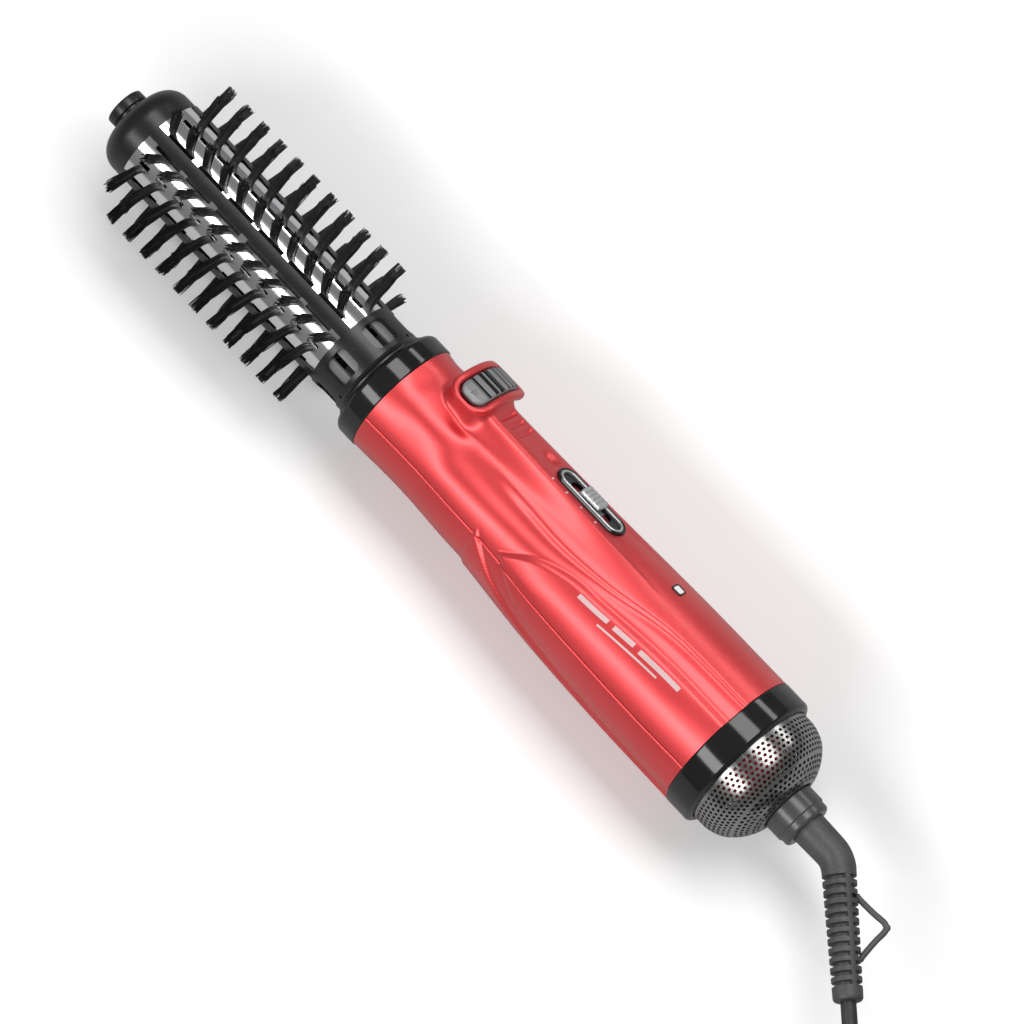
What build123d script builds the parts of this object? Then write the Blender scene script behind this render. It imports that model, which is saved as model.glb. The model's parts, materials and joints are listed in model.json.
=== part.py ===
from build123d import *
import math
import os

# Rotating hot air brush, lying on its bristles on a flat surface. Millimetres.
# +X runs along the brush axis from the tip to the cord end, +Z is up, and z = 0 is the surface.
# Every piece is first drawn on an axis along X, with x = 0 at the front face of the front ring.
os.makedirs("parts", exist_ok=True)

# ---------------------------------------------------------------- driving dimensions
KNOB_LEN, KNOB_R = 5.5, 7.0          # tip knob
CAP_LEN, CAP_ROUND = 12.4, 6.5       # rounded end cap of the brush head
BARREL_LEN, BARREL_R = 93.0, 16.75   # slotted metal barrel
BARREL_WALL = 1.0
COLLAR_LEN, COLLAR_R = 16.4, 17.1    # collar with windows, behind the barrel
COLLAR_WALL = 1.9
FLARE_R, FLARE_LEN = 18.6, 3.0       # its flared foot
FRONT_RING_LEN, FRONT_RING_R = 8.8, 21.65
SHELL_LEN = 155.2
SHELL_WALL = 2.0
REAR_RING_LEN, REAR_RING_R = 10.7, 26.8
DOME_LEN, DOME_R, DOME_WALL = 18.2, 24.15, 1.0
GLAND_LEN, GLAND_R = 9.8, 9.5
NECK_LEN = 14.0                      # straight swivel neck, from the gland to its elbow
RELIEF_LEN, RELIEF_R, RELIEF_END_R = 47.0, 5.75, 4.95
RELIEF_BEND = 39.0                   # degrees between the brush axis and the relief
ROLL = 47.0                          # degrees that the controls lean from straight up, towards +Y
HEAD_PHASE = -6.5                    # the same angle for one black strip of the brush head

# waisted handle: distance behind the front ring, and radius
SHELL_OUTLINE = [(0, 21.3), (20, 20.7), (52, 22.3), (84, 25.0), (115, 26.2), (SHELL_LEN, 26.6)]
SPLIT_Z = -2.0                       # parting plane of the two shells, below the axis

TUFTS, TUFT_PITCH, TUFT_REACH = 11, 8.2, 29.9
TUFT_ROOT_R, TUFT_TIP_R = 1.3, 1.7
PANELS = 5                           # metal panels round the barrel, with two bristle rows on each
ROW_HALF_ANGLE = 18.0                # from a strip to the row on each side of it
STRIP_WIDTH, STRIP_PROUD = 4.4, 0.5
WINDOWS, WINDOW_LEN, WINDOW_WIDTH = 6, 9.4, 10.0
WINDOW_START = 2.4

POD_START, POD_LEN = 13.3, 13.8      # rocker pod: distance behind the front ring, and length
POD_HALF_WIDTH = 12.0
POD_R, POD_TOP_R = 26.8, 30.4        # underside and top of the rocker frame, about the brush axis
ROCKER_TOP_R, ROCKER_HALF_ANGLE = 31.0, 26.6
ROCKER_PIVOT_Z, ROCKER_PIN_R = 27.3, 1.0
SLIDE_X, SLIDE_LEN, SLIDE_WIDTH = 70.5, 30.0, 9.6   # slide switch: middle behind the front ring
SLIDE_TOP_Z, BEZEL_THICK = 26.0, 1.6
SLIDE_TRAVEL = 5.0                   # each way from the middle position
RIDGE_TOP_Z, RIDGE_HALF_WIDTH = 24.8, 7.0
LED_X, LED_WIDTH = 111.2, 3.2

SPIGOT_WALL = 1.4
SHAFT_R = 2.5
MODULE, SUN_TEETH, PLANET_TEETH, PLANETS = 0.35, 12, 18, 3
GEAR_WIDTH = 4.5
MOTOR_SHAFT_R = 0.75
DRIVE_MOTOR_R, DRIVE_MOTOR_LEN = 9.4, 28.0
DUCT_R, DUCT_WALL, DUCT_LEN = 16.2, 0.8, 79.0
FAN_SHROUD_R, FAN_SHROUD_WALL, FAN_SHROUD_LEN = 23.7, 1.5, 32.0
FAN_BLADES, FAN_HUB_R, FAN_SHAFT_R = 7, 9.0, 1.2
FAN_MOTOR_R, FAN_MOTOR_LEN = 11.5, 20.0
HEATER_TURNS, HEATER_WIRE_R, HEATER_COIL_R = 14, 0.5, 13.1

CORD_R = 2.6
COIL_MID_R, COIL_COLUMNS, COIL_LAYERS = 31.0, 4, 2
COIL_LAYER_RISE = 5.2
COIL_AT = (75.6, 4.4)                # coil centre from the relief's end, in X and Y
TIE_THICK, TIE_WIDTH = 0.8, 8.0
TIE_ANGLES = (120, 225)
PLUG_LEN, PLUG_WIDTH, PLUG_THICK = 26.0, 35.0, 14.0
PLUG_RELIEF_LEN, PLUG_RELIEF_R = 18.0, 4.4
PIN_R, PIN_LEN, PIN_SPACING = 2.4, 19.0, 19.0

RUN = 0.05                           # radial clearance of a running fit
GAP = 0.4                            # gap between pieces that move past each other

# ---------------------------------------------------------------- places along the axis
X_COLLAR = -COLLAR_LEN
X_BARREL = X_COLLAR - BARREL_LEN
X_CAP = X_BARREL - CAP_LEN
X_TIP = X_CAP - KNOB_LEN
X_SHELL = FRONT_RING_LEN
X_REAR_RING = X_SHELL + SHELL_LEN
X_DOME = X_REAR_RING + REAR_RING_LEN
X_GLAND = X_DOME + DOME_LEN
X_GLAND_END = X_GLAND + GLAND_LEN
X_ELBOW = X_GLAND_END + NECK_LEN
X_MID = (X_TIP + X_GLAND_END) / 2

ROW_STEP = 360 / (2 * PANELS)
row_angles = [HEAD_PHASE + ROW_HALF_ANGLE + ROW_STEP * i for i in range(2 * PANELS)]
AXIS_Z = max(
    -TUFT_REACH * math.cos(math.radians(a)) + TUFT_TIP_R * abs(math.sin(math.radians(a)))
    for a in row_angles
)
RELIEF_DIR = Vector(math.cos(math.radians(RELIEF_BEND)), -math.sin(math.radians(RELIEF_BEND)), 0)


# ---------------------------------------------------------------- helpers
def turned(points):
    """A solid turned about X from a closed (x, radius) outline."""
    return revolve(make_face(Polyline(*points, close=True)), Axis.X)


def tube(x0, x1, outer, inner=0.0):
    """A straight tube, or a rod, along X."""
    return turned([(x0, inner), (x1, inner), (x1, outer), (x0, outer)])


def block(x0, x1, y0, y1, z0, z1):
    """A box between two corners."""
    return Pos((x0 + x1) / 2, (y0 + y1) / 2, (z0 + z1) / 2) * Box(x1 - x0, y1 - y0, z1 - z0)


def sector(x0, x1, r0, r1, half_angle):
    """A piece of a tube along X that spans half_angle degrees on each side of straight up."""
    face = make_face(Polyline((x0, r0), (x1, r0), (x1, r1), (x0, r1), close=True))
    return Rot(90 - half_angle, 0, 0) * revolve(face, Axis.X, 2 * half_angle)


def around(shape, count, start=0.0):
    """Copies of a shape at even angles about X."""
    return [Rot(start + 360 * i / count, 0, 0) * shape for i in range(count)]


def pill(length, width, z0, z1):
    """An upright obround slab centred on the origin, long along X."""
    straight = block(-(length - width) / 2, (length - width) / 2, -width / 2, width / 2, z0, z1)
    end = Pos(0, 0, (z0 + z1) / 2) * Cylinder(width / 2, z1 - z0)
    offset = (length - width) / 2
    return straight + Pos(-offset, 0, 0) * end + Pos(offset, 0, 0) * end


def in_handle(shape):
    """From the drawing axis to the handle's place, with its controls leaning over."""
    return Pos(-X_MID, 0, AXIS_Z) * Rot(-ROLL, 0, 0) * shape


def in_head(shape):
    """From the drawing axis to the brush head's place."""
    return Pos(-X_MID, 0, AXIS_Z) * Rot(-HEAD_PHASE, 0, 0) * shape


def level(shape):
    """From the drawing axis to the cord end's place, unrolled."""
    return Pos(-X_MID, 0, AXIS_Z) * shape


def write(name, shape):
    """One STEP file for a node of one or more solids."""
    solids = shape.solids() if hasattr(shape, "solids") else [s for part in shape for s in part.solids()]
    whole = solids[0] if len(solids) == 1 else Compound(children=list(solids))
    export_step(whole, f"parts/{name}.step")


# ---------------------------------------------------------------- handle shells
def shell_body(inset):
    """The waisted handle as a solid, its outline brought in by inset."""
    points = [(X_SHELL + x, r - inset) for x, r in SHELL_OUTLINE]
    outline = Spline(*points, tangents=[(1, -0.03), (1, 0)])
    ends = Polyline(points[-1], (points[-1][0], 0), (points[0][0], 0), points[0])
    return revolve(make_face(outline + ends), Axis.X)


pod_x0, pod_x1 = X_SHELL + POD_START, X_SHELL + POD_START + POD_LEN
slide_x = X_SHELL + SLIDE_X
led_x = X_SHELL + LED_X
screw_xs = (slide_x + 17.5, led_x - 2.0)
SCREW_Y, BOSS_R, SCREW_R = 19.2, 2.4, 1.1
SCREW_TOP_Z, SCREW_HEAD_Z = 5.0, -12.0
pcb_x0, pcb_x1 = slide_x - 23.0, led_x + 3.0
PCB_Z, PCB_THICK, PCB_HALF_WIDTH = DUCT_R + 0.8, 1.6, 7.0
POD_WALL, RIB_THICK = 1.6, 1.6
rib_xs = (pod_x1 + 3.5, slide_x - 19.0)

outer = shell_body(0)
cavity = shell_body(SHELL_WALL)
neck = block(pod_x0, pod_x1, -POD_HALF_WIDTH, POD_HALF_WIDTH, 0, POD_R)
neck = neck & tube(pod_x0, pod_x1, POD_R)
ridge = block(pod_x1 - 1, slide_x + SLIDE_LEN / 2 + 3, -RIDGE_HALF_WIDTH, RIDGE_HALF_WIDTH, 0, RIDGE_TOP_Z)
ridge = fillet(ridge.edges().filter_by(Axis.X).group_by(Axis.Z)[-1], 2.5)
pod_room = block(pod_x0 + POD_WALL, pod_x1 - POD_WALL, POD_WALL - POD_HALF_WIDTH,
                 POD_HALF_WIDTH - POD_WALL, 10, POD_TOP_R)
slide_pocket = Pos(slide_x, 0, 0) * pill(SLIDE_LEN, SLIDE_WIDTH, SLIDE_TOP_Z - BEZEL_THICK, POD_TOP_R)
slide_room = Pos(slide_x, 0, 0) * pill(SLIDE_LEN - 2, SLIDE_WIDTH - 1.8, PCB_Z, SLIDE_TOP_Z)
led_window = block(led_x - LED_WIDTH / 2, led_x + LED_WIDTH / 2, -LED_WIDTH / 2, LED_WIDTH / 2, 20, 30)
board = block(pcb_x0, pcb_x1, -PCB_HALF_WIDTH, PCB_HALF_WIDTH, PCB_Z, PCB_Z + PCB_THICK)

ribs = [tube(x, x + RIB_THICK, SHELL_OUTLINE[2][1], DUCT_R) for x in rib_xs]
ribs = [(rib & cavity) - board for rib in ribs]
posts = [Pos(x, side * SCREW_Y, 0) * Cylinder(BOSS_R, 44) for x in screw_xs for side in (-1, 1)]
posts = [post & outer for post in posts]
screws = [
    Pos(x, side * SCREW_Y, (SCREW_TOP_Z + SCREW_HEAD_Z) / 2) * Cylinder(SCREW_R, SCREW_TOP_Z - SCREW_HEAD_Z)
    + Pos(x, side * SCREW_Y, SCREW_HEAD_Z - 0.8) * Cylinder(BOSS_R - 0.5, 1.6)
    for x in screw_xs for side in (-1, 1)
]
screw_wells = [
    Pos(x, side * SCREW_Y, SCREW_HEAD_Z - 15) * Cylinder(BOSS_R - 0.5, 30)
    for x in screw_xs for side in (-1, 1)
]
grooves = [
    block(pod_x1 + 3 + 4 * i, pod_x1 + 4.7 + 4 * i, -4.5, 4.5, RIDGE_TOP_Z - 0.7, POD_TOP_R)
    for i in range(3)
]
pin = Pos(0, 0, ROCKER_PIVOT_Z) * tube(pod_x0 - 0.2, pod_x1 + 0.2, ROCKER_PIN_R)
shell = outer + neck + ridge - cavity - pod_room - slide_pocket - slide_room - led_window - grooves
shell = shell + ribs + posts - screws - screw_wells - pin
above = block(0, X_DOME, -40, 40, SPLIT_Z, 40)
below = block(0, X_DOME, -40, 40, -40, SPLIT_Z)
write("top_shell", in_handle(shell & above))
write("bottom_shell", in_handle(shell & below))
write("shell_screws", [in_handle(s) for s in screws])
write("circuit_board", in_handle(board))

# ---------------------------------------------------------------- front ring and bush
SPIGOT_R = COLLAR_R - COLLAR_WALL - GAP
BUSH_R = SPIGOT_R + 2.9
front_inner_r = SHELL_OUTLINE[0][1] - SHELL_WALL - RUN
front_ring = turned([
    (0, BUSH_R), (0, FRONT_RING_R - 1.6), (1.2, FRONT_RING_R - 0.3), (2.6, FRONT_RING_R),
    (X_SHELL, FRONT_RING_R), (X_SHELL, front_inner_r), (X_SHELL + 4, front_inner_r - 0.3),
    (X_SHELL + 4, BUSH_R),
])
write("front_ring", in_handle(front_ring))
bush_end = X_SHELL - 0.9
write("front_bush", in_handle(tube(0.6, bush_end, BUSH_R, SPIGOT_R + RUN)))

# ---------------------------------------------------------------- rear ring, grille, inlet cone and gland
ring_inner_r = DOME_R + RUN
rear_inner_r = SHELL_OUTLINE[-1][1] - SHELL_WALL - RUN
ledge_x = X_DOME - 5.4
rear_ring = turned([
    (X_REAR_RING, rear_inner_r), (X_REAR_RING, REAR_RING_R), (X_DOME - 1.6, REAR_RING_R),
    (X_DOME - 0.5, REAR_RING_R - 0.4), (X_DOME, REAR_RING_R - 1.4), (X_DOME, ring_inner_r),
    (ledge_x, ring_inner_r), (ledge_x, DOME_R - 1.2), (X_REAR_RING - 4, DOME_R - 1.2),
    (X_REAR_RING - 4, rear_inner_r),
])
write("rear_ring", in_handle(rear_ring))

NOSE_R = 8.0                          # gland nose through the grille
cord_hole_r = NOSE_R + RUN
outside = Spline(
    (X_DOME, DOME_R), (X_DOME + 0.34 * DOME_LEN, DOME_R - 0.35), (X_DOME + 0.58 * DOME_LEN, DOME_R - 2.05),
    (X_DOME + 0.79 * DOME_LEN, DOME_R - 5.6), (X_DOME + 0.94 * DOME_LEN, DOME_R - 10.2),
    (X_GLAND, DOME_R - 13.7), tangents=[(1, 0), (0.25, -1)],
)
inside = Spline(
    (X_GLAND - DOME_WALL, DOME_R - 14.4), (X_DOME + 0.89 * DOME_LEN, DOME_R - 10.9),
    (X_DOME + 0.74 * DOME_LEN, DOME_R - 6.4), (X_DOME + 0.54 * DOME_LEN, DOME_R - 3.0),
    (X_DOME + 0.32 * DOME_LEN, DOME_R - 1.4), (X_DOME, DOME_R - DOME_WALL),
    tangents=[(-0.25, 1), (-1, 0)],
)
skirt = Polyline(
    (X_DOME, DOME_R - DOME_WALL), (ledge_x, DOME_R - DOME_WALL), (ledge_x, DOME_R), (X_DOME, DOME_R))
eye = Polyline(
    (X_GLAND, DOME_R - 13.7), (X_GLAND, cord_hole_r), (X_GLAND - DOME_WALL, cord_hole_r),
    (X_GLAND - DOME_WALL, DOME_R - 14.4),
)
grille = revolve(make_face(outside + eye + inside + skirt), Axis.X)
HOLE_R = 1.1
punch = Rot(0, 90, 0) * Cylinder(HOLE_R, 2 * DOME_LEN)
end_holes = [
    hole
    for radius, count in ((12.2, 16), (15.4, 20), (18.6, 24))
    for hole in around(Pos(X_DOME + DOME_LEN, 0, radius) * punch, count)
]
side_holes = [
    hole
    for x in (3.0, 6.4)
    for hole in around(Pos(X_DOME + x, 0, DOME_R) * Cylinder(HOLE_R, 8), 30)
]
write("inlet_grille", in_handle(grille - end_holes - side_holes))

fan_x = X_REAR_RING - 6.5 - FAN_SHROUD_LEN
fan_motor_x = fan_x + 12.0
cone_x0, cone_x1 = fan_motor_x + FAN_MOTOR_LEN, X_GLAND - 9.2
cone_round = Spline((cone_x0 + 12, 13.0), (cone_x1 - 4, 10.5), (cone_x1, 0), tangents=[(1, 0), (0, -1)])
cone_side = Polyline(
    (cone_x1, 0), (cone_x0, 0), (cone_x0, FAN_MOTOR_R), (cone_x0 + 6, 13.0), (cone_x0 + 12, 13.0))
write("inlet_cone", in_handle(revolve(make_face(cone_round + cone_side), Axis.X)))

NECK_R = 6.15
neck_bore_r = NECK_R + RUN
nose_x = X_GLAND - 5.2
gland = turned([
    (nose_x, neck_bore_r), (nose_x, NOSE_R), (X_GLAND, NOSE_R), (X_GLAND, GLAND_R), (X_GLAND + 6.2, GLAND_R),
    (X_GLAND + 6.6, GLAND_R - 0.5), (X_GLAND_END - 1, GLAND_R - 0.5), (X_GLAND_END, GLAND_R - 1.4),
    (X_GLAND_END, neck_bore_r),
])
write("cord_gland", level(gland))

# ---------------------------------------------------------------- rocker switch for the turning direction
FRAME_OVERHANG, FRAME_HALF_ANGLE, OPENING_HALF_ANGLE = 1.2, 32.0, 29.3
ROCKER_UNDER_R = 28.4                 # clears the neck's walls when the rocker tilts
ROCKER_HUB_HALF_WIDTH = 3.5
frame = sector(pod_x0 - FRAME_OVERHANG, pod_x1 + FRAME_OVERHANG, POD_R, POD_TOP_R, FRAME_HALF_ANGLE)
opening = sector(pod_x0 + POD_WALL, pod_x1 - POD_WALL, POD_R - 1, POD_TOP_R + 1, OPENING_HALF_ANGLE)
write("rocker_frame", in_handle(frame - opening - pin))
write("rocker_pivot_pin", in_handle(pin))
button_x0, button_x1 = pod_x0 + POD_WALL + GAP, pod_x1 - POD_WALL - GAP
button = sector(button_x0, button_x1, ROCKER_UNDER_R, ROCKER_TOP_R, ROCKER_HALF_ANGLE)
button = button + block(button_x0, button_x1, -ROCKER_HUB_HALF_WIDTH, ROCKER_HUB_HALF_WIDTH,
                        POD_R - 1.6, ROCKER_TOP_R - 1)
button = button - Pos(0, 0, ROCKER_PIVOT_Z) * tube(pod_x0, pod_x1, ROCKER_PIN_R + RUN)
thumb_ribs = [
    sector(button_x0 + 2, button_x1 - 2, ROCKER_TOP_R - 0.5, ROCKER_TOP_R + 0.7, 1.2)
    for _ in range(3)
]
thumb_ribs = [Rot(5.5 * (i - 1), 0, 0) * rib for i, rib in enumerate(thumb_ribs)]
write("rocker_button", in_handle(button + thumb_ribs))
rocker_switch = block(pod_x0 + 4.5, pod_x1 - 4.5, -6, 6, DUCT_R, DUCT_R + 4.4)
for side in (-1, 1):
    plunger = Pos((pod_x0 + pod_x1) / 2, side * 4.5, DUCT_R + 4.9) * Cylinder(1.2, 1.4)
    rocker_switch = rocker_switch + plunger
write("rocker_switch", in_handle(rocker_switch))

# ---------------------------------------------------------------- slide switch for heat and speed
STEM_LEN, STEM_WIDTH = 3.8, 3.8
slot_len = STEM_LEN + 2 * (SLIDE_TRAVEL + 2)
bezel = pill(SLIDE_LEN, SLIDE_WIDTH, SLIDE_TOP_Z - BEZEL_THICK, SLIDE_TOP_Z)
bezel = bezel - pill(slot_len, STEM_WIDTH + 2 * GAP, 0, SLIDE_TOP_Z + 1)
write("slide_bezel", in_handle(Pos(slide_x, 0, 0) * bezel))
foot_z = SLIDE_TOP_Z - BEZEL_THICK - GAP
knob = block(-STEM_LEN / 2, STEM_LEN / 2, -STEM_WIDTH / 2, STEM_WIDTH / 2, foot_z - 1, SLIDE_TOP_Z + 1)
knob = knob + block(-5.5, 5.5, -3.2, 3.2, foot_z - 1.6, foot_z)
knob = knob + block(-4.5, 4.5, -3.0, 3.0, SLIDE_TOP_Z + GAP, SLIDE_TOP_Z + 2.0)
write("slide_knob", in_handle(Pos(slide_x, 0, 0) * knob))
slide_switch = block(slide_x - 11, slide_x + 11, -3.6, 3.6, PCB_Z + PCB_THICK, foot_z - 1.6 - GAP)
write("slide_switch", in_handle(slide_switch & tube(0, X_DOME, SLIDE_TOP_Z)))

# ---------------------------------------------------------------- indicator lamp
lamp_x0, lamp_x1, lamp_half = led_x - LED_WIDTH / 2, led_x + LED_WIDTH / 2, LED_WIDTH / 2
lamp = block(lamp_x0, lamp_x1, -lamp_half, lamp_half, PCB_Z + PCB_THICK + 3, SHELL_OUTLINE[4][1] + 0.1)
lamp = lamp + Pos(led_x, 0, PCB_Z + PCB_THICK + 1.5) * Cylinder(1.25, 3)
write("lamp_lens", in_handle(lamp))

# ---------------------------------------------------------------- planetary drive
RING_TEETH = SUN_TEETH + 2 * PLANET_TEETH
CENTRES = MODULE * (SUN_TEETH + PLANET_TEETH) / 2
ADDENDUM, DEDENDUM = 0.85 * MODULE, 1.25 * MODULE
ROOT_SHARE, TIP_SHARE = 0.30, 0.11    # half a tooth at its root and at its tip, as a share of the pitch


def gear_face(teeth, root_r, tip_r, phase):
    """A toothed outline in (y, z), with a tooth at phase degrees from +Z."""
    points = []
    for i in range(teeth):
        corners = ((-ROOT_SHARE, root_r), (-TIP_SHARE, tip_r), (TIP_SHARE, tip_r), (ROOT_SHARE, root_r))
        for share, radius in corners:
            angle = math.radians(phase + 360 * (i + share) / teeth)
            points.append((radius * math.sin(angle), radius * math.cos(angle)))
    return make_face(Polyline(*points, close=True))


def gear_blank(face, x0, width):
    """A (y, z) outline carried along X from x0."""
    return Pos(x0, 0, 0) * (Plane((0, 0, 0), x_dir=(0, 1, 0), z_dir=(1, 0, 0)) * extrude(face, width))


case_x0 = X_SHELL + 5.1
carrier_x0 = case_x0 + 4.0
gear_x0 = carrier_x0 + 3.0
case_x1 = gear_x0 + GEAR_WIDTH + 4.0
ring_pitch_r = MODULE * RING_TEETH / 2
CASE_R = ring_pitch_r + DEDENDUM + 1.5
room_r = ring_pitch_r + DEDENDUM

sun = gear_blank(
    gear_face(SUN_TEETH, MODULE * SUN_TEETH / 2 - DEDENDUM, MODULE * SUN_TEETH / 2 + ADDENDUM, 0),
    gear_x0, GEAR_WIDTH)
write("sun_gear", in_handle(sun - tube(gear_x0, gear_x0 + GEAR_WIDTH, MOTOR_SHAFT_R)))
write("motor_shaft", in_handle(tube(gear_x0, case_x1 + 6, MOTOR_SHAFT_R)))
PLANET_PIN_R = 0.9
planet = gear_blank(
    gear_face(PLANET_TEETH, MODULE * PLANET_TEETH / 2 - DEDENDUM, MODULE * PLANET_TEETH / 2 + ADDENDUM,
              180 / PLANET_TEETH),
    gear_x0, GEAR_WIDTH)
planet = planet - tube(gear_x0 - 1, gear_x0 + GEAR_WIDTH + 1, PLANET_PIN_R + RUN)
for i in range(PLANETS):
    write(f"planet_gear_{i + 1}", in_handle(Rot(360 * i / PLANETS, 0, 0) * Pos(0, 0, CENTRES) * planet))
inner_gear = gear_blank(
    gear_face(RING_TEETH, ring_pitch_r + DEDENDUM, ring_pitch_r - ADDENDUM, 0), gear_x0 - 0.5, GEAR_WIDTH + 1)
case = tube(case_x0, case_x1, CASE_R)
case = case - tube(case_x0 + 3, gear_x0 - 0.5, room_r) - inner_gear
case = case - tube(gear_x0 + GEAR_WIDTH + 0.5, case_x1, room_r) - tube(case_x0, case_x1, SHAFT_R + RUN)
vane = block(case_x0 + 2, case_x1 - 2, -0.8, 0.8, CASE_R - 0.5, DUCT_R - DUCT_WALL)
write("gear_case", in_handle(case + [v & tube(0, X_DOME, DUCT_R - DUCT_WALL) for v in around(vane, 3, 60)]))

SPIDER_X, SPIDER_THICK, HUB_R = 4.4, 2.6, 4.5
spigot_x0 = X_COLLAR + 1.7
carrier = tube(carrier_x0, gear_x0 - GAP, CENTRES + PLANET_PIN_R + 1.4, SHAFT_R)
planet_pin = Pos(0, 0, CENTRES) * tube(gear_x0 - GAP, gear_x0 + GEAR_WIDTH + 0.4, PLANET_PIN_R)
write("planet_carrier", in_handle(carrier + around(planet_pin, PLANETS)))
write("drive_shaft", in_handle(tube(SPIDER_X, gear_x0 - GAP, SHAFT_R)))
KEY_WIDTH, KEY_PROUD = 3.0, 0.9
spigot = tube(spigot_x0, X_SHELL + 0.9, SPIGOT_R, SPIGOT_R - SPIGOT_WALL)
spigot = spigot + tube(bush_end + 0.3, X_SHELL + 0.9, SPIGOT_R + 1.7, SPIGOT_R - SPIGOT_WALL)
arm = block(SPIDER_X, SPIDER_X + SPIDER_THICK, -1.2, 1.2, HUB_R - 1, SPIGOT_R - SPIGOT_WALL + 0.5)
hub = tube(SPIDER_X, SPIDER_X + SPIDER_THICK, HUB_R, SHAFT_R)
key = block(spigot_x0, -FLARE_LEN, -KEY_WIDTH / 2, KEY_WIDTH / 2, SPIGOT_R - 1, SPIGOT_R + KEY_PROUD)
notch = block(spigot_x0 - 1, -FLARE_LEN - 1, -1.4, 1.4, SPIGOT_R - 4, SPIGOT_R + 2)
window_start = 180 / WINDOWS
spigot = spigot + around(arm, 3, 30) + hub - around(notch, WINDOWS, window_start) + around(key, 3)
write("drive_spigot", in_head(spigot - tube(SPIDER_X, X_SHELL, SHAFT_R)))

motor_x0 = case_x1
drive_motor = tube(motor_x0, motor_x0 + DRIVE_MOTOR_LEN, DRIVE_MOTOR_R)
drive_motor = drive_motor - tube(motor_x0, motor_x0 + 8, MOTOR_SHAFT_R + RUN)
write("drive_motor", in_handle(drive_motor))

# ---------------------------------------------------------------- hot air path
duct_x0 = X_SHELL + 4.2
write("air_duct", in_handle(tube(duct_x0, duct_x0 + DUCT_LEN, DUCT_R, DUCT_R - DUCT_WALL)))
heater_x0, heater_x1 = motor_x0 + 4, duct_x0 + DUCT_LEN - 4
MICA_R, MICA_THICK = 11.0, 0.8
heater_frame = tube(heater_x0, heater_x1, MICA_R, MICA_R - MICA_THICK)
coil_seat_r = HEATER_COIL_R - HEATER_WIRE_R - 0.05
web = block(heater_x0, heater_x1, -MICA_THICK / 2, MICA_THICK / 2, MICA_R - 0.4, coil_seat_r)
write("heater_frame", in_handle(heater_frame + around(web, 4, 45)))
pitch = (heater_x1 - heater_x0 - 6) / (HEATER_TURNS - 1)
turn = Rot(0, 90, 0) * Torus(HEATER_COIL_R, HEATER_WIRE_R)
write("heater_coil", [in_handle(Pos(heater_x0 + 3 + pitch * i, 0, 0) * turn) for i in range(HEATER_TURNS)])
thermostat = block(heater_x1 - 7, heater_x1 + 3, -3.5, 3.5, -MICA_R + MICA_THICK + 0.8, -6.5)
write("thermostat", in_handle(thermostat))

# ---------------------------------------------------------------- fan
shroud_in_r = FAN_SHROUD_R - FAN_SHROUD_WALL
shroud = tube(fan_x, fan_x + FAN_SHROUD_LEN, FAN_SHROUD_R, shroud_in_r)
strut = block(fan_motor_x + 4, fan_motor_x + 16, -0.8, 0.8, FAN_MOTOR_R, shroud_in_r + 0.5)
holder = tube(fan_motor_x + 4, fan_motor_x + 16, FAN_MOTOR_R + 1.2, FAN_MOTOR_R)
write("fan_shroud", in_handle(shroud + (holder + around(strut, 5) - tube(fan_x, X_DOME, FAN_MOTOR_R))))
fan_motor = tube(fan_motor_x, fan_motor_x + FAN_MOTOR_LEN, FAN_MOTOR_R)
write("fan_motor", in_handle(fan_motor - tube(fan_motor_x, fan_motor_x + 8, FAN_SHAFT_R + RUN)))
HUB_LEN, BLADE_CHORD, BLADE_THICK, BLADE_PITCH = 8.0, 9.5, 1.2, 38.0
impeller_x0 = fan_motor_x - 1 - HUB_LEN
blade = Pos(impeller_x0 + HUB_LEN / 2, 0, (FAN_HUB_R + shroud_in_r) / 2) * (
    Rot(0, 0, BLADE_PITCH) * Box(BLADE_CHORD, BLADE_THICK, shroud_in_r - FAN_HUB_R + 2))
blade = blade & tube(fan_x, fan_motor_x, shroud_in_r - GAP - 0.1)
impeller = tube(impeller_x0, impeller_x0 + HUB_LEN, FAN_HUB_R) + around(blade, FAN_BLADES)
write("fan_impeller", in_handle(impeller + tube(impeller_x0, fan_motor_x + 6, FAN_SHAFT_R)))

# ---------------------------------------------------------------- brush head
barrel = tube(X_BARREL, X_COLLAR, BARREL_R, BARREL_R - BARREL_WALL)
first_tuft_x = (X_BARREL + X_COLLAR - TUFT_PITCH * (TUFTS - 1)) / 2
STAGGER = TUFT_PITCH / 4              # neighbouring rows are shifted this far each way
HOLE_SPARE = 0.15
through = BARREL_R - BARREL_WALL - 1
tuft_cuts, slots = [], []


def row_shift(i):
    """How far row i is shifted along the barrel."""
    return STAGGER if i % 2 else -STAGGER


def place_row(shape, i):
    """Turn a piece drawn straight up to the angle of bristle row i."""
    return Rot(-(ROW_HALF_ANGLE + ROW_STEP * i), 0, 0) * shape


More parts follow.
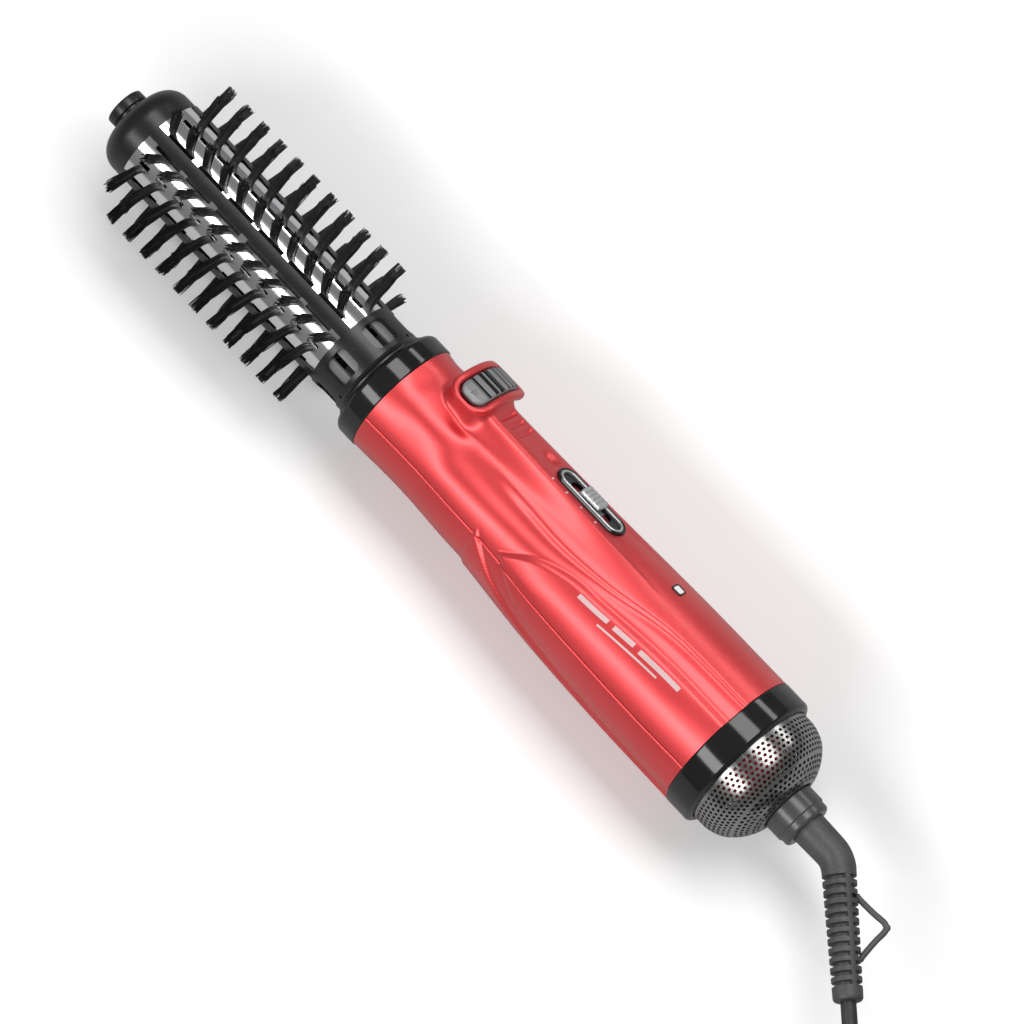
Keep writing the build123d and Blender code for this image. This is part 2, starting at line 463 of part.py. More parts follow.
for i in range(2 * PANELS):
    for k in range(TUFTS):
        hole = Pos(first_tuft_x + TUFT_PITCH * k + row_shift(i), 0, BARREL_R) * Cylinder(
            TUFT_ROOT_R + HOLE_SPARE, 4)
        tuft_cuts.append(place_row(hole, i))
LONG_SLOT, LONG_PITCH, LONG_ANGLE = 11.5, 14.6, 9.5
SHORT_SLOT, SHORT_ANGLE, SLOT_WIDTH = 4.6, 36.0, 1.6
long_count = int((BARREL_LEN - 4) // LONG_PITCH)
for i in range(PANELS):
    for k in range(long_count):
        x = (X_BARREL + X_COLLAR) / 2 + LONG_PITCH * (k - (long_count - 1) / 2)
        cut = Pos(x, 0, BARREL_R) * Box(LONG_SLOT, SLOT_WIDTH, 4)
        slots += [Rot(side * LONG_ANGLE + 360 * i / PANELS, 0, 0) * cut for side in (-1, 1)]
    for k in range(TUFTS):
        cut = Pos(first_tuft_x + TUFT_PITCH * k, 0, BARREL_R) * Box(SHORT_SLOT, SLOT_WIDTH, 4)
        slots.append(Rot(SHORT_ANGLE + 360 * i / PANELS, 0, 0) * cut)
write("head_barrel", in_head(barrel - tuft_cuts - slots))
strip = block(X_BARREL, X_COLLAR, -STRIP_WIDTH / 2, STRIP_WIDTH / 2, 0, BARREL_R + STRIP_PROUD)
strip = strip & tube(X_BARREL, X_COLLAR, BARREL_R + STRIP_PROUD, BARREL_R)
write("head_strips", [in_head(s) for s in around(strip, PANELS)])

SPINE_WIDTH, SPINE_THICK = 3.4, 1.2
SLEEVE_LEN = 1.6                      # how far the cap and the collar reach into the barrel
spine_gap = SLEEVE_LEN + 0.2
spine_top = math.sqrt((BARREL_R - BARREL_WALL) ** 2 - (SPINE_WIDTH / 2) ** 2) - 0.05
spine = block(X_BARREL + spine_gap, X_COLLAR - spine_gap, -SPINE_WIDTH / 2, SPINE_WIDTH / 2,
              spine_top - SPINE_THICK, spine_top)
tuft_len = TUFT_REACH - spine_top + 0.5
tuft = Pos(0, 0, TUFT_REACH - tuft_len / 2) * Cone(TUFT_ROOT_R, TUFT_TIP_R, tuft_len)
shank = Pos(0, 0, BARREL_R - 1) * Cylinder(TUFT_ROOT_R, 3)
tuft = (tuft & block(-9, 9, -9, 9, BARREL_R + 0.4, TUFT_REACH + 1)) + shank
for i in range(2 * PANELS):
    row = spine + [Pos(first_tuft_x + TUFT_PITCH * k + row_shift(i), 0, 0) * tuft for k in range(TUFTS)]
    write(f"bristle_row_{i + 1:02d}", in_head(place_row(row, i)))

ROD_R, ROD_HEAD_R = 2.0, 3.4
sleeve_r = BARREL_R - BARREL_WALL - RUN
cap_outline = Polyline((X_CAP + CAP_ROUND, BARREL_R), (X_BARREL, BARREL_R), (X_BARREL, sleeve_r),
                       (X_BARREL + SLEEVE_LEN, sleeve_r), (X_BARREL + SLEEVE_LEN, sleeve_r - 1.3),
                       (X_BARREL - 2, BARREL_R - 5), (X_BARREL - 2, ROD_R), (X_CAP, ROD_R),
                       (X_CAP, BARREL_R - CAP_ROUND))
cap_round = RadiusArc((X_CAP, BARREL_R - CAP_ROUND), (X_CAP + CAP_ROUND, BARREL_R), CAP_ROUND)
cap_face = make_face(cap_outline + cap_round)
write("head_cap", in_head(revolve(cap_face, Axis.X)))
knob_x1 = X_CAP - GAP
tip_knob = turned([
    (X_TIP, ROD_R + 2), (X_TIP, KNOB_R - 0.9), (X_TIP + 0.8, KNOB_R), (X_TIP + 3.6, KNOB_R),
    (X_TIP + 3.6, KNOB_R - 0.9), (knob_x1, KNOB_R - 0.9), (knob_x1, ROD_R + RUN),
    (X_TIP + 2.2, ROD_R + RUN), (X_TIP + 2.2, ROD_R + 2),
])
write("tip_knob", in_head(tip_knob))
spider_x0, spider_x1 = X_COLLAR - SLEEVE_LEN, X_COLLAR + 1.0
rod = tube(X_TIP + 1.6, spider_x1, ROD_R) + tube(X_TIP + 0.6, X_TIP + 1.8, ROD_HEAD_R)
write("head_tie_rod", in_head(rod))

collar_in_r = COLLAR_R - COLLAR_WALL
collar = turned([
    (X_COLLAR, collar_in_r), (X_COLLAR, COLLAR_R), (-FLARE_LEN, COLLAR_R), (-FLARE_LEN + 1, COLLAR_R + 0.4),
    (-1.0, FLARE_R), (-GAP, FLARE_R), (-GAP, collar_in_r),
])
collar = collar + tube(X_COLLAR - SLEEVE_LEN, X_COLLAR, sleeve_r, sleeve_r - 1.3) + tube(
    X_COLLAR, X_COLLAR + 1, COLLAR_R, sleeve_r - 1.3)
collar_arm = block(spider_x0, spider_x1, -1.2, 1.2, ROD_R + 1, sleeve_r - 0.5)
collar_hub = tube(spider_x0, spider_x1, ROD_R + 2)
collar = collar + around(collar_arm, 3, 60) + collar_hub - tube(X_BARREL, 0, ROD_R)
window = Pos(X_COLLAR + WINDOW_START + WINDOW_LEN / 2, 0, COLLAR_R) * Box(WINDOW_LEN, WINDOW_WIDTH, 8)
window = fillet(window.edges().filter_by(Axis.Z), 2.2)
keyway = block(X_COLLAR + 1, 0, -KEY_WIDTH / 2 - GAP, KEY_WIDTH / 2 + GAP, 10, SPIGOT_R + KEY_PROUD + GAP)
small_hole = Pos(-FLARE_LEN - 0.8, 0, COLLAR_R) * Cylinder(0.6, 8)
collar = collar - around(window, WINDOWS, window_start) - around(keyway, 3) - around(small_hole, 3, 60)
write("head_collar", in_head(collar))

# ---------------------------------------------------------------- swivel relief and hanging loop
flange_x0 = nose_x - 1.6
neck_part = tube(flange_x0, X_ELBOW, NECK_R) + tube(flange_x0, nose_x - 0.3, NECK_R + 1.2)
elbow = Pos(X_ELBOW, 0, 0) * Sphere(NECK_R)
GROOVES, GROOVE_DEPTH, GROOVE_WIDTH = 12, 0.9, 1.2
groove_start, groove_pitch = 6.0, (RELIEF_LEN - 9.0) / GROOVES


def relief_r(along):
    """The relief's tapering radius at a distance from the elbow."""
    return RELIEF_R + (RELIEF_END_R - RELIEF_R) * along / RELIEF_LEN


relief_points = [(0, 0), (0, RELIEF_R)]
for i in range(GROOVES):
    a = groove_start + groove_pitch * i
    b = a + GROOVE_WIDTH
    relief_points += [(a, relief_r(a)), (a, relief_r(a) - GROOVE_DEPTH)]
    relief_points += [(b, relief_r(b) - GROOVE_DEPTH), (b, relief_r(b))]
relief_points += [(RELIEF_LEN, RELIEF_END_R), (RELIEF_LEN, 0)]
along_relief = Pos(X_ELBOW, 0, 0) * Rot(0, 0, -RELIEF_BEND)
relief = neck_part + elbow + along_relief * turned(relief_points)
write("swivel_relief", level(relief))

LOOP_WIRE_R, LOOP_FROM, LOOP_TO, LOOP_REACH = 1.05, 12.3, 33.7, 14.0
LOOP_SINK = 0.6


def wire(a, b, radius):
    """A round wire from a to b."""
    run = Vector(b) - Vector(a)
    rod = Cylinder(radius, run.length, align=(Align.CENTER, Align.CENTER, Align.MIN))
    return Plane(origin=a, z_dir=run) * rod


loop_mid, LOOP_NOSE = (LOOP_FROM + LOOP_TO) / 2, 1.5
loop_ends = [(LOOP_FROM, relief_r(LOOP_FROM) - LOOP_SINK, 0), (LOOP_TO, relief_r(LOOP_TO) - LOOP_SINK, 0)]
loop_top = [(loop_mid - LOOP_NOSE, LOOP_REACH, 0), (loop_mid + LOOP_NOSE, LOOP_REACH, 0)]
loop_path = [loop_ends[0], loop_top[0], loop_top[1], loop_ends[1]]
loop = wire(loop_path[0], loop_path[1], LOOP_WIRE_R)
for a, b in zip(loop_path[1:-1], loop_path[2:]):
    loop = loop + Pos(*a) * Sphere(LOOP_WIRE_R) + wire(a, b, LOOP_WIRE_R)
write("hanging_loop", level(along_relief * loop))

# ---------------------------------------------------------------- free cord, its coil and its plug
exit_x = X_ELBOW - X_MID + RELIEF_LEN * RELIEF_DIR.X
exit_y = RELIEF_LEN * RELIEF_DIR.Y
# X and Y from the relief's end, and the height above the surface
ROUTE_TO_COIL = [
    (0, 0, AXIS_Z), (10.9, -8.8, AXIS_Z - 0.2), (24.9, -20.1, 24.4), (37.7, -29.9, 14.0), (49.7, -37.3, 5.6),
    (64.0, -41.1, 3.5), (81.3, -38.1, 3.4), (95.6, -28.9, 3.4),
]
ROUTE_TO_PLUG = [
    (75.6, -34.4, 8.6), (79.4, -34.4, 9.8), (86.6, -32.1, 12.6), (92.8, -27.6, 15.0), (97.3, -21.4, 17.2),
    (99.6, -14.2, 18.4), (99.6, -10.4, 18.5),
]
CORD_RADIUS_SHARE = 0.45


def corner_radii(points):
    """The largest neat arc at each corner of a route, from its shorter run and its turn."""
    radii = []
    for a, b, c in zip(points, points[1:], points[2:]):
        before, after = Vector(b) - Vector(a), Vector(c) - Vector(b)
        half_turn = math.radians(before.get_angle(after)) / 2
        radii.append(CORD_RADIUS_SHARE * min(before.length, after.length) / math.tan(half_turn))
    return radii


def cord_piece(name, offsets):
    """A round cord along a route of straight runs and arcs."""
    points = [(exit_x + x, exit_y + y, z) for x, y, z in offsets]
    radii = corner_radii(points)
    path = FilletPolyline(*points, radius=radii)
    start = Plane(origin=path @ 0, z_dir=path % 0)
    cord = sweep(start * Circle(CORD_R), path)
    expected = math.pi * CORD_R ** 2 * path.length
    print(name, "length", round(path.length, 1), "volume share", round(cord.volume / expected, 4),
          "radii", [round(r, 1) for r in radii])
    write(name, cord)
    return path


cord_piece("cord_tube", ROUTE_TO_COIL)
lead_path = cord_piece("plug_lead", ROUTE_TO_PLUG)
coil_half = CORD_R * COIL_COLUMNS
coil_top = TIE_THICK + 2 * CORD_R + COIL_LAYER_RISE * (COIL_LAYERS - 1)
coil_section = RectangleRounded(2 * coil_half, coil_top - TIE_THICK, 2)
coil_section = Pos(COIL_MID_R, (TIE_THICK + coil_top) / 2) * coil_section
coil = revolve(Plane.XZ * coil_section, Axis.Z)
coil_place = Pos(exit_x + COIL_AT[0], exit_y + COIL_AT[1], 0)
tie_outer = block(COIL_MID_R - coil_half - TIE_THICK, COIL_MID_R + coil_half + TIE_THICK, -TIE_WIDTH / 2,
                  TIE_WIDTH / 2, 0, coil_top + TIE_THICK)
tie = tie_outer - revolve(Plane.XZ * coil_section, Axis.Z)
write("cord_coil", coil_place * coil)
write("cord_ties", [coil_place * Rot(0, 0, a) * tie for a in TIE_ANGLES])

plug_at, plug_dir = lead_path @ 1, lead_path % 1
plug_heading = math.degrees(math.atan2(plug_dir.Y, plug_dir.X))
plug_place = Pos(plug_at.X, plug_at.Y, 0) * Rot(0, 0, plug_heading)
plug_z = plug_at.Z
plug_relief = turned([(0, 0), (0, CORD_R + 0.9), (PLUG_RELIEF_LEN, PLUG_RELIEF_R), (PLUG_RELIEF_LEN, 0)])
plug_relief = Pos(0, 0, plug_z) * plug_relief
side_line = [(0, 5.5), (8, 10.5), (13, PLUG_WIDTH / 2), (PLUG_LEN, PLUG_WIDTH / 2)]
outline = Polyline(*side_line, *[(x, -y) for x, y in reversed(side_line)], close=True)
plug = Pos(PLUG_RELIEF_LEN, 0, plug_z - PLUG_THICK / 2) * extrude(make_face(outline), PLUG_THICK)
plug = fillet(plug.edges().filter_by(GeomType.LINE).group_by(Axis.Z)[0]
              + plug.edges().filter_by(GeomType.LINE).group_by(Axis.Z)[-1], 2.0)
pin_x0 = PLUG_RELIEF_LEN + PLUG_LEN
pins = [
    Pos(0, side * PIN_SPACING / 2, plug_z) * (tube(pin_x0, pin_x0 + PIN_LEN, PIN_R))
    for side in (-1, 1)
]
write("plug_body", plug_place * (plug_relief + plug))
write("plug_pins", [plug_place * p for p in pins])
print("row frame: axis height", round(AXIS_Z, 3), "middle", round(X_MID, 3))
print("relief ends at", round(exit_x, 2), round(exit_y, 2))
print("plug at", [round(v, 2) for v in plug_at], "heading", round(plug_heading, 2))
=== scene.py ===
import json
import math

import bmesh
import bpy
import numpy as np
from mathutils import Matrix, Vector


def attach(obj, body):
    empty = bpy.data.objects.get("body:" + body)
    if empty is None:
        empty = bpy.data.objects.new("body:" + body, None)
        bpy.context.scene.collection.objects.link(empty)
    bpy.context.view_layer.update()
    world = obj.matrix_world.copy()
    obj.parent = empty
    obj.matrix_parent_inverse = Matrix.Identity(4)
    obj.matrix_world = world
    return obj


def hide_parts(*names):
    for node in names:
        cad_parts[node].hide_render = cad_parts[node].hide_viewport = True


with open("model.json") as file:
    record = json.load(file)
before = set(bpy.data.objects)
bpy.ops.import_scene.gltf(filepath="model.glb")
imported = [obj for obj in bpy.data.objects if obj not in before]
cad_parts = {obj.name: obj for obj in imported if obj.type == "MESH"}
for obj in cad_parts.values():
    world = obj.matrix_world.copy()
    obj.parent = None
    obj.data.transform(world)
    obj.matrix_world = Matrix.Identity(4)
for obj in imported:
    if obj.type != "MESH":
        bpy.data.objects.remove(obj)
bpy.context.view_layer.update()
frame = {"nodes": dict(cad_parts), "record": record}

# Rotating hot air brush. Lengths below are in millimetres until a mesh is made, and meshes are in metres.
# x counts from the front face of the front ring towards the cord; beta is degrees round the axis from a
# piece's own top, positive towards +Y. The controls lean ROLL degrees over, the brush head turns by HEAD_PHASE.
MM = 0.001
AXIS_Z, X_MID = 29.639, 37.7
ROLL, HEAD_PHASE = 47.0, -6.5
X_TIP, X_CAP, X_BARREL, X_COLLAR = -127.3, -121.8, -109.4, -16.4
X_SHELL, X_REAR_RING, X_DOME, X_GLAND, X_GLAND_END, X_ELBOW = 8.8, 164.0, 174.7, 192.9, 202.7, 216.7
RELIEF_BEND, RELIEF_LEN = 39.0, 47.0    # the strain relief's bend in degrees, and its length
EXIT = (215.53, -29.58)                 # where the cord leaves the relief, on the level of the axis


# ---- camera
CAMERA_ELEVATION, CAMERA_AZIMUTH, CAMERA_DISTANCE = 73.8, 47.7, 3.0    # degrees, degrees and metres
LENS, SENSOR, LENS_SHIFT = 325, 36, (0.0486, -0.0486)                  # a long lens, nearly without perspective


def placed(name, data):
    """A new object in the scene."""
    thing = bpy.data.objects.new(name, data)
    bpy.context.scene.collection.objects.link(thing)
    return thing


def place_camera():
    """A level camera high over the cord end, looking down along the brush."""
    elevation, azimuth = math.radians(CAMERA_ELEVATION), math.radians(CAMERA_AZIMUTH)
    back = Vector((math.sin(azimuth) * math.cos(elevation), -math.cos(azimuth) * math.cos(elevation),
                   math.sin(elevation)))
    data = bpy.data.cameras.new("studio_camera")
    data.lens, data.sensor_width = LENS, SENSOR
    data.shift_x, data.shift_y = LENS_SHIFT
    data.clip_start, data.clip_end = 0.01, 20
    camera = placed("studio_camera", data)
    camera.rotation_mode = "QUATERNION"
    camera.location = Vector((0, 0, AXIS_Z * MM)) + back * CAMERA_DISTANCE
    camera.rotation_quaternion = (-back).to_track_quat("-Z", "Y")
    bpy.context.scene.camera = camera


place_camera()


# ---- places and curves
def polar(x, r, beta, roll=ROLL):
    """Points r from the axis: y = r sin(beta + roll), z = axis height + r cos(beta + roll)."""
    x, r, angle = np.broadcast_arrays(x, r, np.radians(np.asarray(beta) + roll))
    return np.stack([x - X_MID, r * np.sin(angle), AXIS_Z + r * np.cos(angle)], axis=-1) * MM


def flat(x, y, z, roll=ROLL):
    """Points of a piece drawn upright over the axis, then leaned over by roll."""
    x, y, z = np.broadcast_arrays(x, y, z)
    c, s = math.cos(math.radians(roll)), math.sin(math.radians(roll))
    return np.stack([x - X_MID, y * c + z * s, AXIS_Z - y * s + z * c], axis=-1) * MM


def ramp(t):
    """0 below 0, 1 above 1, and 3t2 - 2t3 between."""
    t = np.clip(t, 0, 1)
    return t * t * (3 - 2 * t)


def hump(t):
    """A bell of height 1 and width about 1: e to the minus t squared."""
    return np.exp(-t * t)


def curve(x, xs, ys):
    """A smooth line through (xs, ys): cubic Hermite spans with slopes from the neighbours."""
    xs, ys = np.asarray(xs, float), np.asarray(ys, float)
    slopes = np.gradient(ys, xs)
    x = np.clip(x, xs[0], xs[-1])
    i = np.clip(np.searchsorted(xs, x, side="right") - 1, 0, len(xs) - 2)
    h = xs[i + 1] - xs[i]
    t = (x - xs[i]) / h
    return ((1 + 2 * t) * (1 - t) ** 2 * ys[i] + t * (1 - t) ** 2 * h * slopes[i]
            + t * t * (3 - 2 * t) * ys[i + 1] + t * t * (t - 1) * h * slopes[i + 1])


def rounded_rect(half_x, half_y, corner, per_corner=10, per_side=12):
    """A closed loop of (x, y) round a rounded rectangle: four quarter circles joined by straight sides."""
    centres = np.array([(1, 1), (-1, 1), (-1, -1), (1, -1)]) * [half_x - corner, half_y - corner]
    share = np.linspace(0, 1, per_side + 2)[1:-1, None]
    points = []
    for k in range(4):
        angle = np.linspace(0, math.pi / 2, per_corner) + k * math.pi / 2
        arc = centres[k] + corner * np.stack([np.cos(angle), np.sin(angle)], -1)
        points += [arc, arc[-1] + (centres[(k + 1) % 4] - centres[k]) * share]
    return np.concatenate(points).T


def from_rounded_rect(u, v, half_u, half_v, corner):
    """Distance to the outline of a rounded rectangle, negative inside."""
    qu, qv = np.abs(u) - half_u + corner, np.abs(v) - half_v + corner
    return np.hypot(np.maximum(qu, 0), np.maximum(qv, 0)) + np.minimum(np.maximum(qu, qv), 0) - corner


# ---- meshes
def grid_faces(rows, cols, ring=False):
    """Quads between the neighbouring points of a row of closed loops; a ring joins the last loop to the first."""
    i = np.arange(rows if ring else rows - 1)[:, None]
    j = np.arange(cols)[None, :]
    a, b = i * cols + j, i * cols + (j + 1) % cols
    c, d = ((i + 1) % rows) * cols + (j + 1) % cols, ((i + 1) % rows) * cols + j
    return np.stack([a, b, c, d], -1).reshape(-1, 4).tolist()


def finished(name, points, faces, body, slot, replaced=(), look=None, crease=32, clean=True):
    """A mesh piece with merged seams, outward faces and smooth shading, riding on its body; it has its slot's
    look or another."""
    mesh = bpy.data.meshes.new(name)
    mesh.from_pydata(np.asarray(points, float).reshape(-1, 3).tolist(), [], faces)
    if clean:
        bm = bmesh.new()
        bm.from_mesh(mesh)
        bmesh.ops.remove_doubles(bm, verts=bm.verts, dist=2e-6)
        bmesh.ops.recalc_face_normals(bm, faces=bm.faces)
        bm.to_mesh(mesh)
        bm.free()
    mesh.shade_smooth()
    mesh.set_sharp_from_angle(angle=math.radians(crease))
    piece = placed(name, mesh)
    mesh.materials.append(LOOKS[look or slot])
    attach(piece, body)
    if replaced:
        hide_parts(*replaced)
    return piece


def loft(loops, ring=False):
    """Points and faces of closed loops stacked one on another: a ring, or a block with flat ends."""
    points = np.stack(loops)
    rows, cols = points.shape[:2]
    faces = grid_faces(rows, cols, ring)
    if not ring:
        faces += [list(range(cols)), list(range((rows - 1) * cols, rows * cols))]
    return points.reshape(-1, 3), faces


def turned(profile, roll=ROLL, count=160):
    """A ring or knob turned about the axis: each (x, r) of the closed profile becomes a circle."""
    profile = np.array(profile, float)
    beta = np.arange(count) * 360 / count
    return loft(polar(profile[:, :1], profile[:, 1:], beta[None, :], roll), ring=True)


def rounded_profile(corners, radius=0.5, steps=5):
    """A closed (x, r) outline with each corner replaced by a quadratic curve that starts radius before it."""
    corners = np.array(corners, float)
    before, after = np.roll(corners, 1, 0) - corners, np.roll(corners, -1, 0) - corners
    reach = [np.minimum(radius, 0.45 * np.linalg.norm(run, axis=1))[:, None] for run in (before, after)]
    start = corners + before / np.linalg.norm(before, axis=1)[:, None] * reach[0]
    end = corners + after / np.linalg.norm(after, axis=1)[:, None] * reach[1]
    t = np.linspace(0, 1, steps)[None, :, None]
    bend = (1 - t) ** 2 * start[:, None] + 2 * t * (1 - t) * corners[:, None] + t * t * end[:, None]
    return bend.reshape(-1, 2)


def joined(*parts):
    """Several (points, faces) made one."""
    points, faces, first = [], [], 0
    for part_points, part_faces in parts:
        part_points = np.asarray(part_points).reshape(-1, 3)
        points.append(part_points)
        faces += [[v + first for v in face] for face in part_faces]
        first += len(part_points)
    return np.concatenate(points), faces


def swept(path, radii, count=32):
    """A round rod along a path: circles across it, turned as little as possible, with closed ends."""
    path = np.asarray(path, float)
    run = np.gradient(path, axis=0)
    run /= np.linalg.norm(run, axis=1)[:, None]
    up = np.tile([0.0, 0.0, 1.0], (len(path), 1))
    side = np.cross(run, up)
    side /= np.linalg.norm(side, axis=1)[:, None]
    up = np.cross(side, run)
    angle = np.arange(count) * 2 * math.pi / count
    radii = np.broadcast_to(np.asarray(radii, float).reshape(len(path), -1), (len(path), count))
    points = (path[:, None] + radii[..., None] * (np.cos(angle)[None, :, None] * up[:, None]
                                                   + np.sin(angle)[None, :, None] * side[:, None]))
    return loft(points)


# ---- node groups
def new_group(name, inputs, outputs):
    """An empty shader group with named sockets: name, type and default of each."""
    group = bpy.data.node_groups.new(name, "ShaderNodeTree")
    for label, kind, value in inputs:
        socket = group.interface.new_socket(label, in_out="INPUT", socket_type=kind)
        if value is not None:
            socket.default_value = value
    for label, kind in outputs:
        group.interface.new_socket(label, in_out="OUTPUT", socket_type=kind)
    return group, group.nodes.new("NodeGroupInput"), group.nodes.new("NodeGroupOutput")


FLOAT, VECTOR = "NodeSocketFloat", "NodeSocketVector"


def map_range(tree, value, start, end, to=(0, 1)):
    """A node that carries value from start..end to the range to; its output socket."""
    node = tree.nodes.new("ShaderNodeMapRange")
    for label, number in (("From Min", start), ("From Max", end), ("To Min", to[0]), ("To Max", to[1])):
        node.inputs[label].default_value = number
    tree.links.new(value, node.inputs["Value"])
    return node.outputs["Result"]


def surface_group():
    """Slow clouding, fine grain and scattered specks over a moulded or plated surface."""
    group, given, out = new_group(
        "moulded_surface",
        [("Place", VECTOR, None), ("Cloud Scale", FLOAT, 60), ("Grain Scale", FLOAT, 1800),
         ("Speck Scale", FLOAT, 700)],
        [("Cloud", FLOAT), ("Grain", FLOAT), ("Specks", FLOAT)])
    link = group.links.new
    for label, size, detail in (("Cloud", "Cloud Scale", 3.0), ("Grain", "Grain Scale", 2.0)):
        noise = group.nodes.new("ShaderNodeTexNoise")
        noise.inputs["Detail"].default_value = detail
        link(given.outputs["Place"], noise.inputs["Vector"])
        link(given.outputs[size], noise.inputs["Scale"])
        link(noise.outputs["Fac"], out.inputs[label])
    cells = group.nodes.new("ShaderNodeTexVoronoi")
    link(given.outputs["Place"], cells.inputs["Vector"])
    link(given.outputs["Speck Scale"], cells.inputs["Scale"])
    split = group.nodes.new("ShaderNodeSeparateColor")
    link(cells.outputs["Color"], split.inputs["Color"])
    link(map_range(group, split.outputs["Red"], 0.75, 0.95), out.inputs["Specks"])
    return group


def brushed_group():
    """Long fine scratches along the brush axis: noise stretched eighty times along X."""
    group, given, out = new_group(
        "axis_scratches", [("Place", VECTOR, None), ("Scale", FLOAT, 900)], [("Scratch", FLOAT)])
    stretch = group.nodes.new("ShaderNodeMapping")
    stretch.inputs["Scale"].default_value = (0.0125, 1, 1)
    noise = group.nodes.new("ShaderNodeTexNoise")
    noise.inputs["Detail"].default_value = 4.0
    group.links.new(given.outputs["Place"], stretch.inputs["Vector"])
    group.links.new(stretch.outputs["Vector"], noise.inputs["Vector"])
    group.links.new(given.outputs["Scale"], noise.inputs["Scale"])
    group.links.new(noise.outputs["Fac"], out.inputs["Scratch"])
    return group


SURFACE, SCRATCHES = surface_group(), brushed_group()
BUMP_DEPTH = 0.0002    # metres


def finish_material(name, colour, second, rough, bump, grain=1800, cloud=60, speck=700, speck_share=0.0,
                    scratches=False, **shader):
    """A Principled material: cloud and specks mix two colours, grain sets roughness and a fine bump."""
    material = bpy.data.materials.new(name)
    material.use_nodes = True
    tree = material.node_tree
    link = tree.links.new
    principled = tree.nodes["Principled BSDF"]
    for socket, value in shader.items():
        principled.inputs[socket.replace("_", " ")].default_value = value
    place = tree.nodes.new("ShaderNodeTexCoord")
    surface = tree.nodes.new("ShaderNodeGroup")
    surface.node_tree = SURFACE
    for label, value in (("Cloud Scale", cloud), ("Grain Scale", grain), ("Speck Scale", speck)):
        surface.inputs[label].default_value = value
    link(place.outputs["Object"], surface.inputs["Place"])
    fine = surface.outputs["Grain"]
    if scratches:
        lines = tree.nodes.new("ShaderNodeGroup")
        lines.node_tree = SCRATCHES
        link(place.outputs["Object"], lines.inputs["Place"])
        fine = lines.outputs["Scratch"]
    mask = surface.outputs["Cloud"]
    if speck_share:
        share = tree.nodes.new("ShaderNodeMath")
        share.operation = "MULTIPLY_ADD"
        share.inputs[1].default_value = speck_share
        link(surface.outputs["Specks"], share.inputs[0])
        link(surface.outputs["Cloud"], share.inputs[2])
        mask = share.outputs["Value"]
    mix = tree.nodes.new("ShaderNodeMix")
    mix.data_type = "RGBA"
    mix.inputs["A"].default_value, mix.inputs["B"].default_value = (*colour, 1), (*second, 1)
    link(map_range(tree, mask, 0.35, 0.75), mix.inputs["Factor"])
    link(mix.outputs["Result"], principled.inputs["Base Color"])
    link(map_range(tree, fine, 0.3, 0.7, rough), principled.inputs["Roughness"])
    if bump:
        relief = tree.nodes.new("ShaderNodeBump")
        relief.inputs["Strength"].default_value = bump
        relief.inputs["Distance"].default_value = BUMP_DEPTH
        link(fine, relief.inputs["Height"])
        link(relief.outputs["Normal"], principled.inputs["Normal"])
    return material


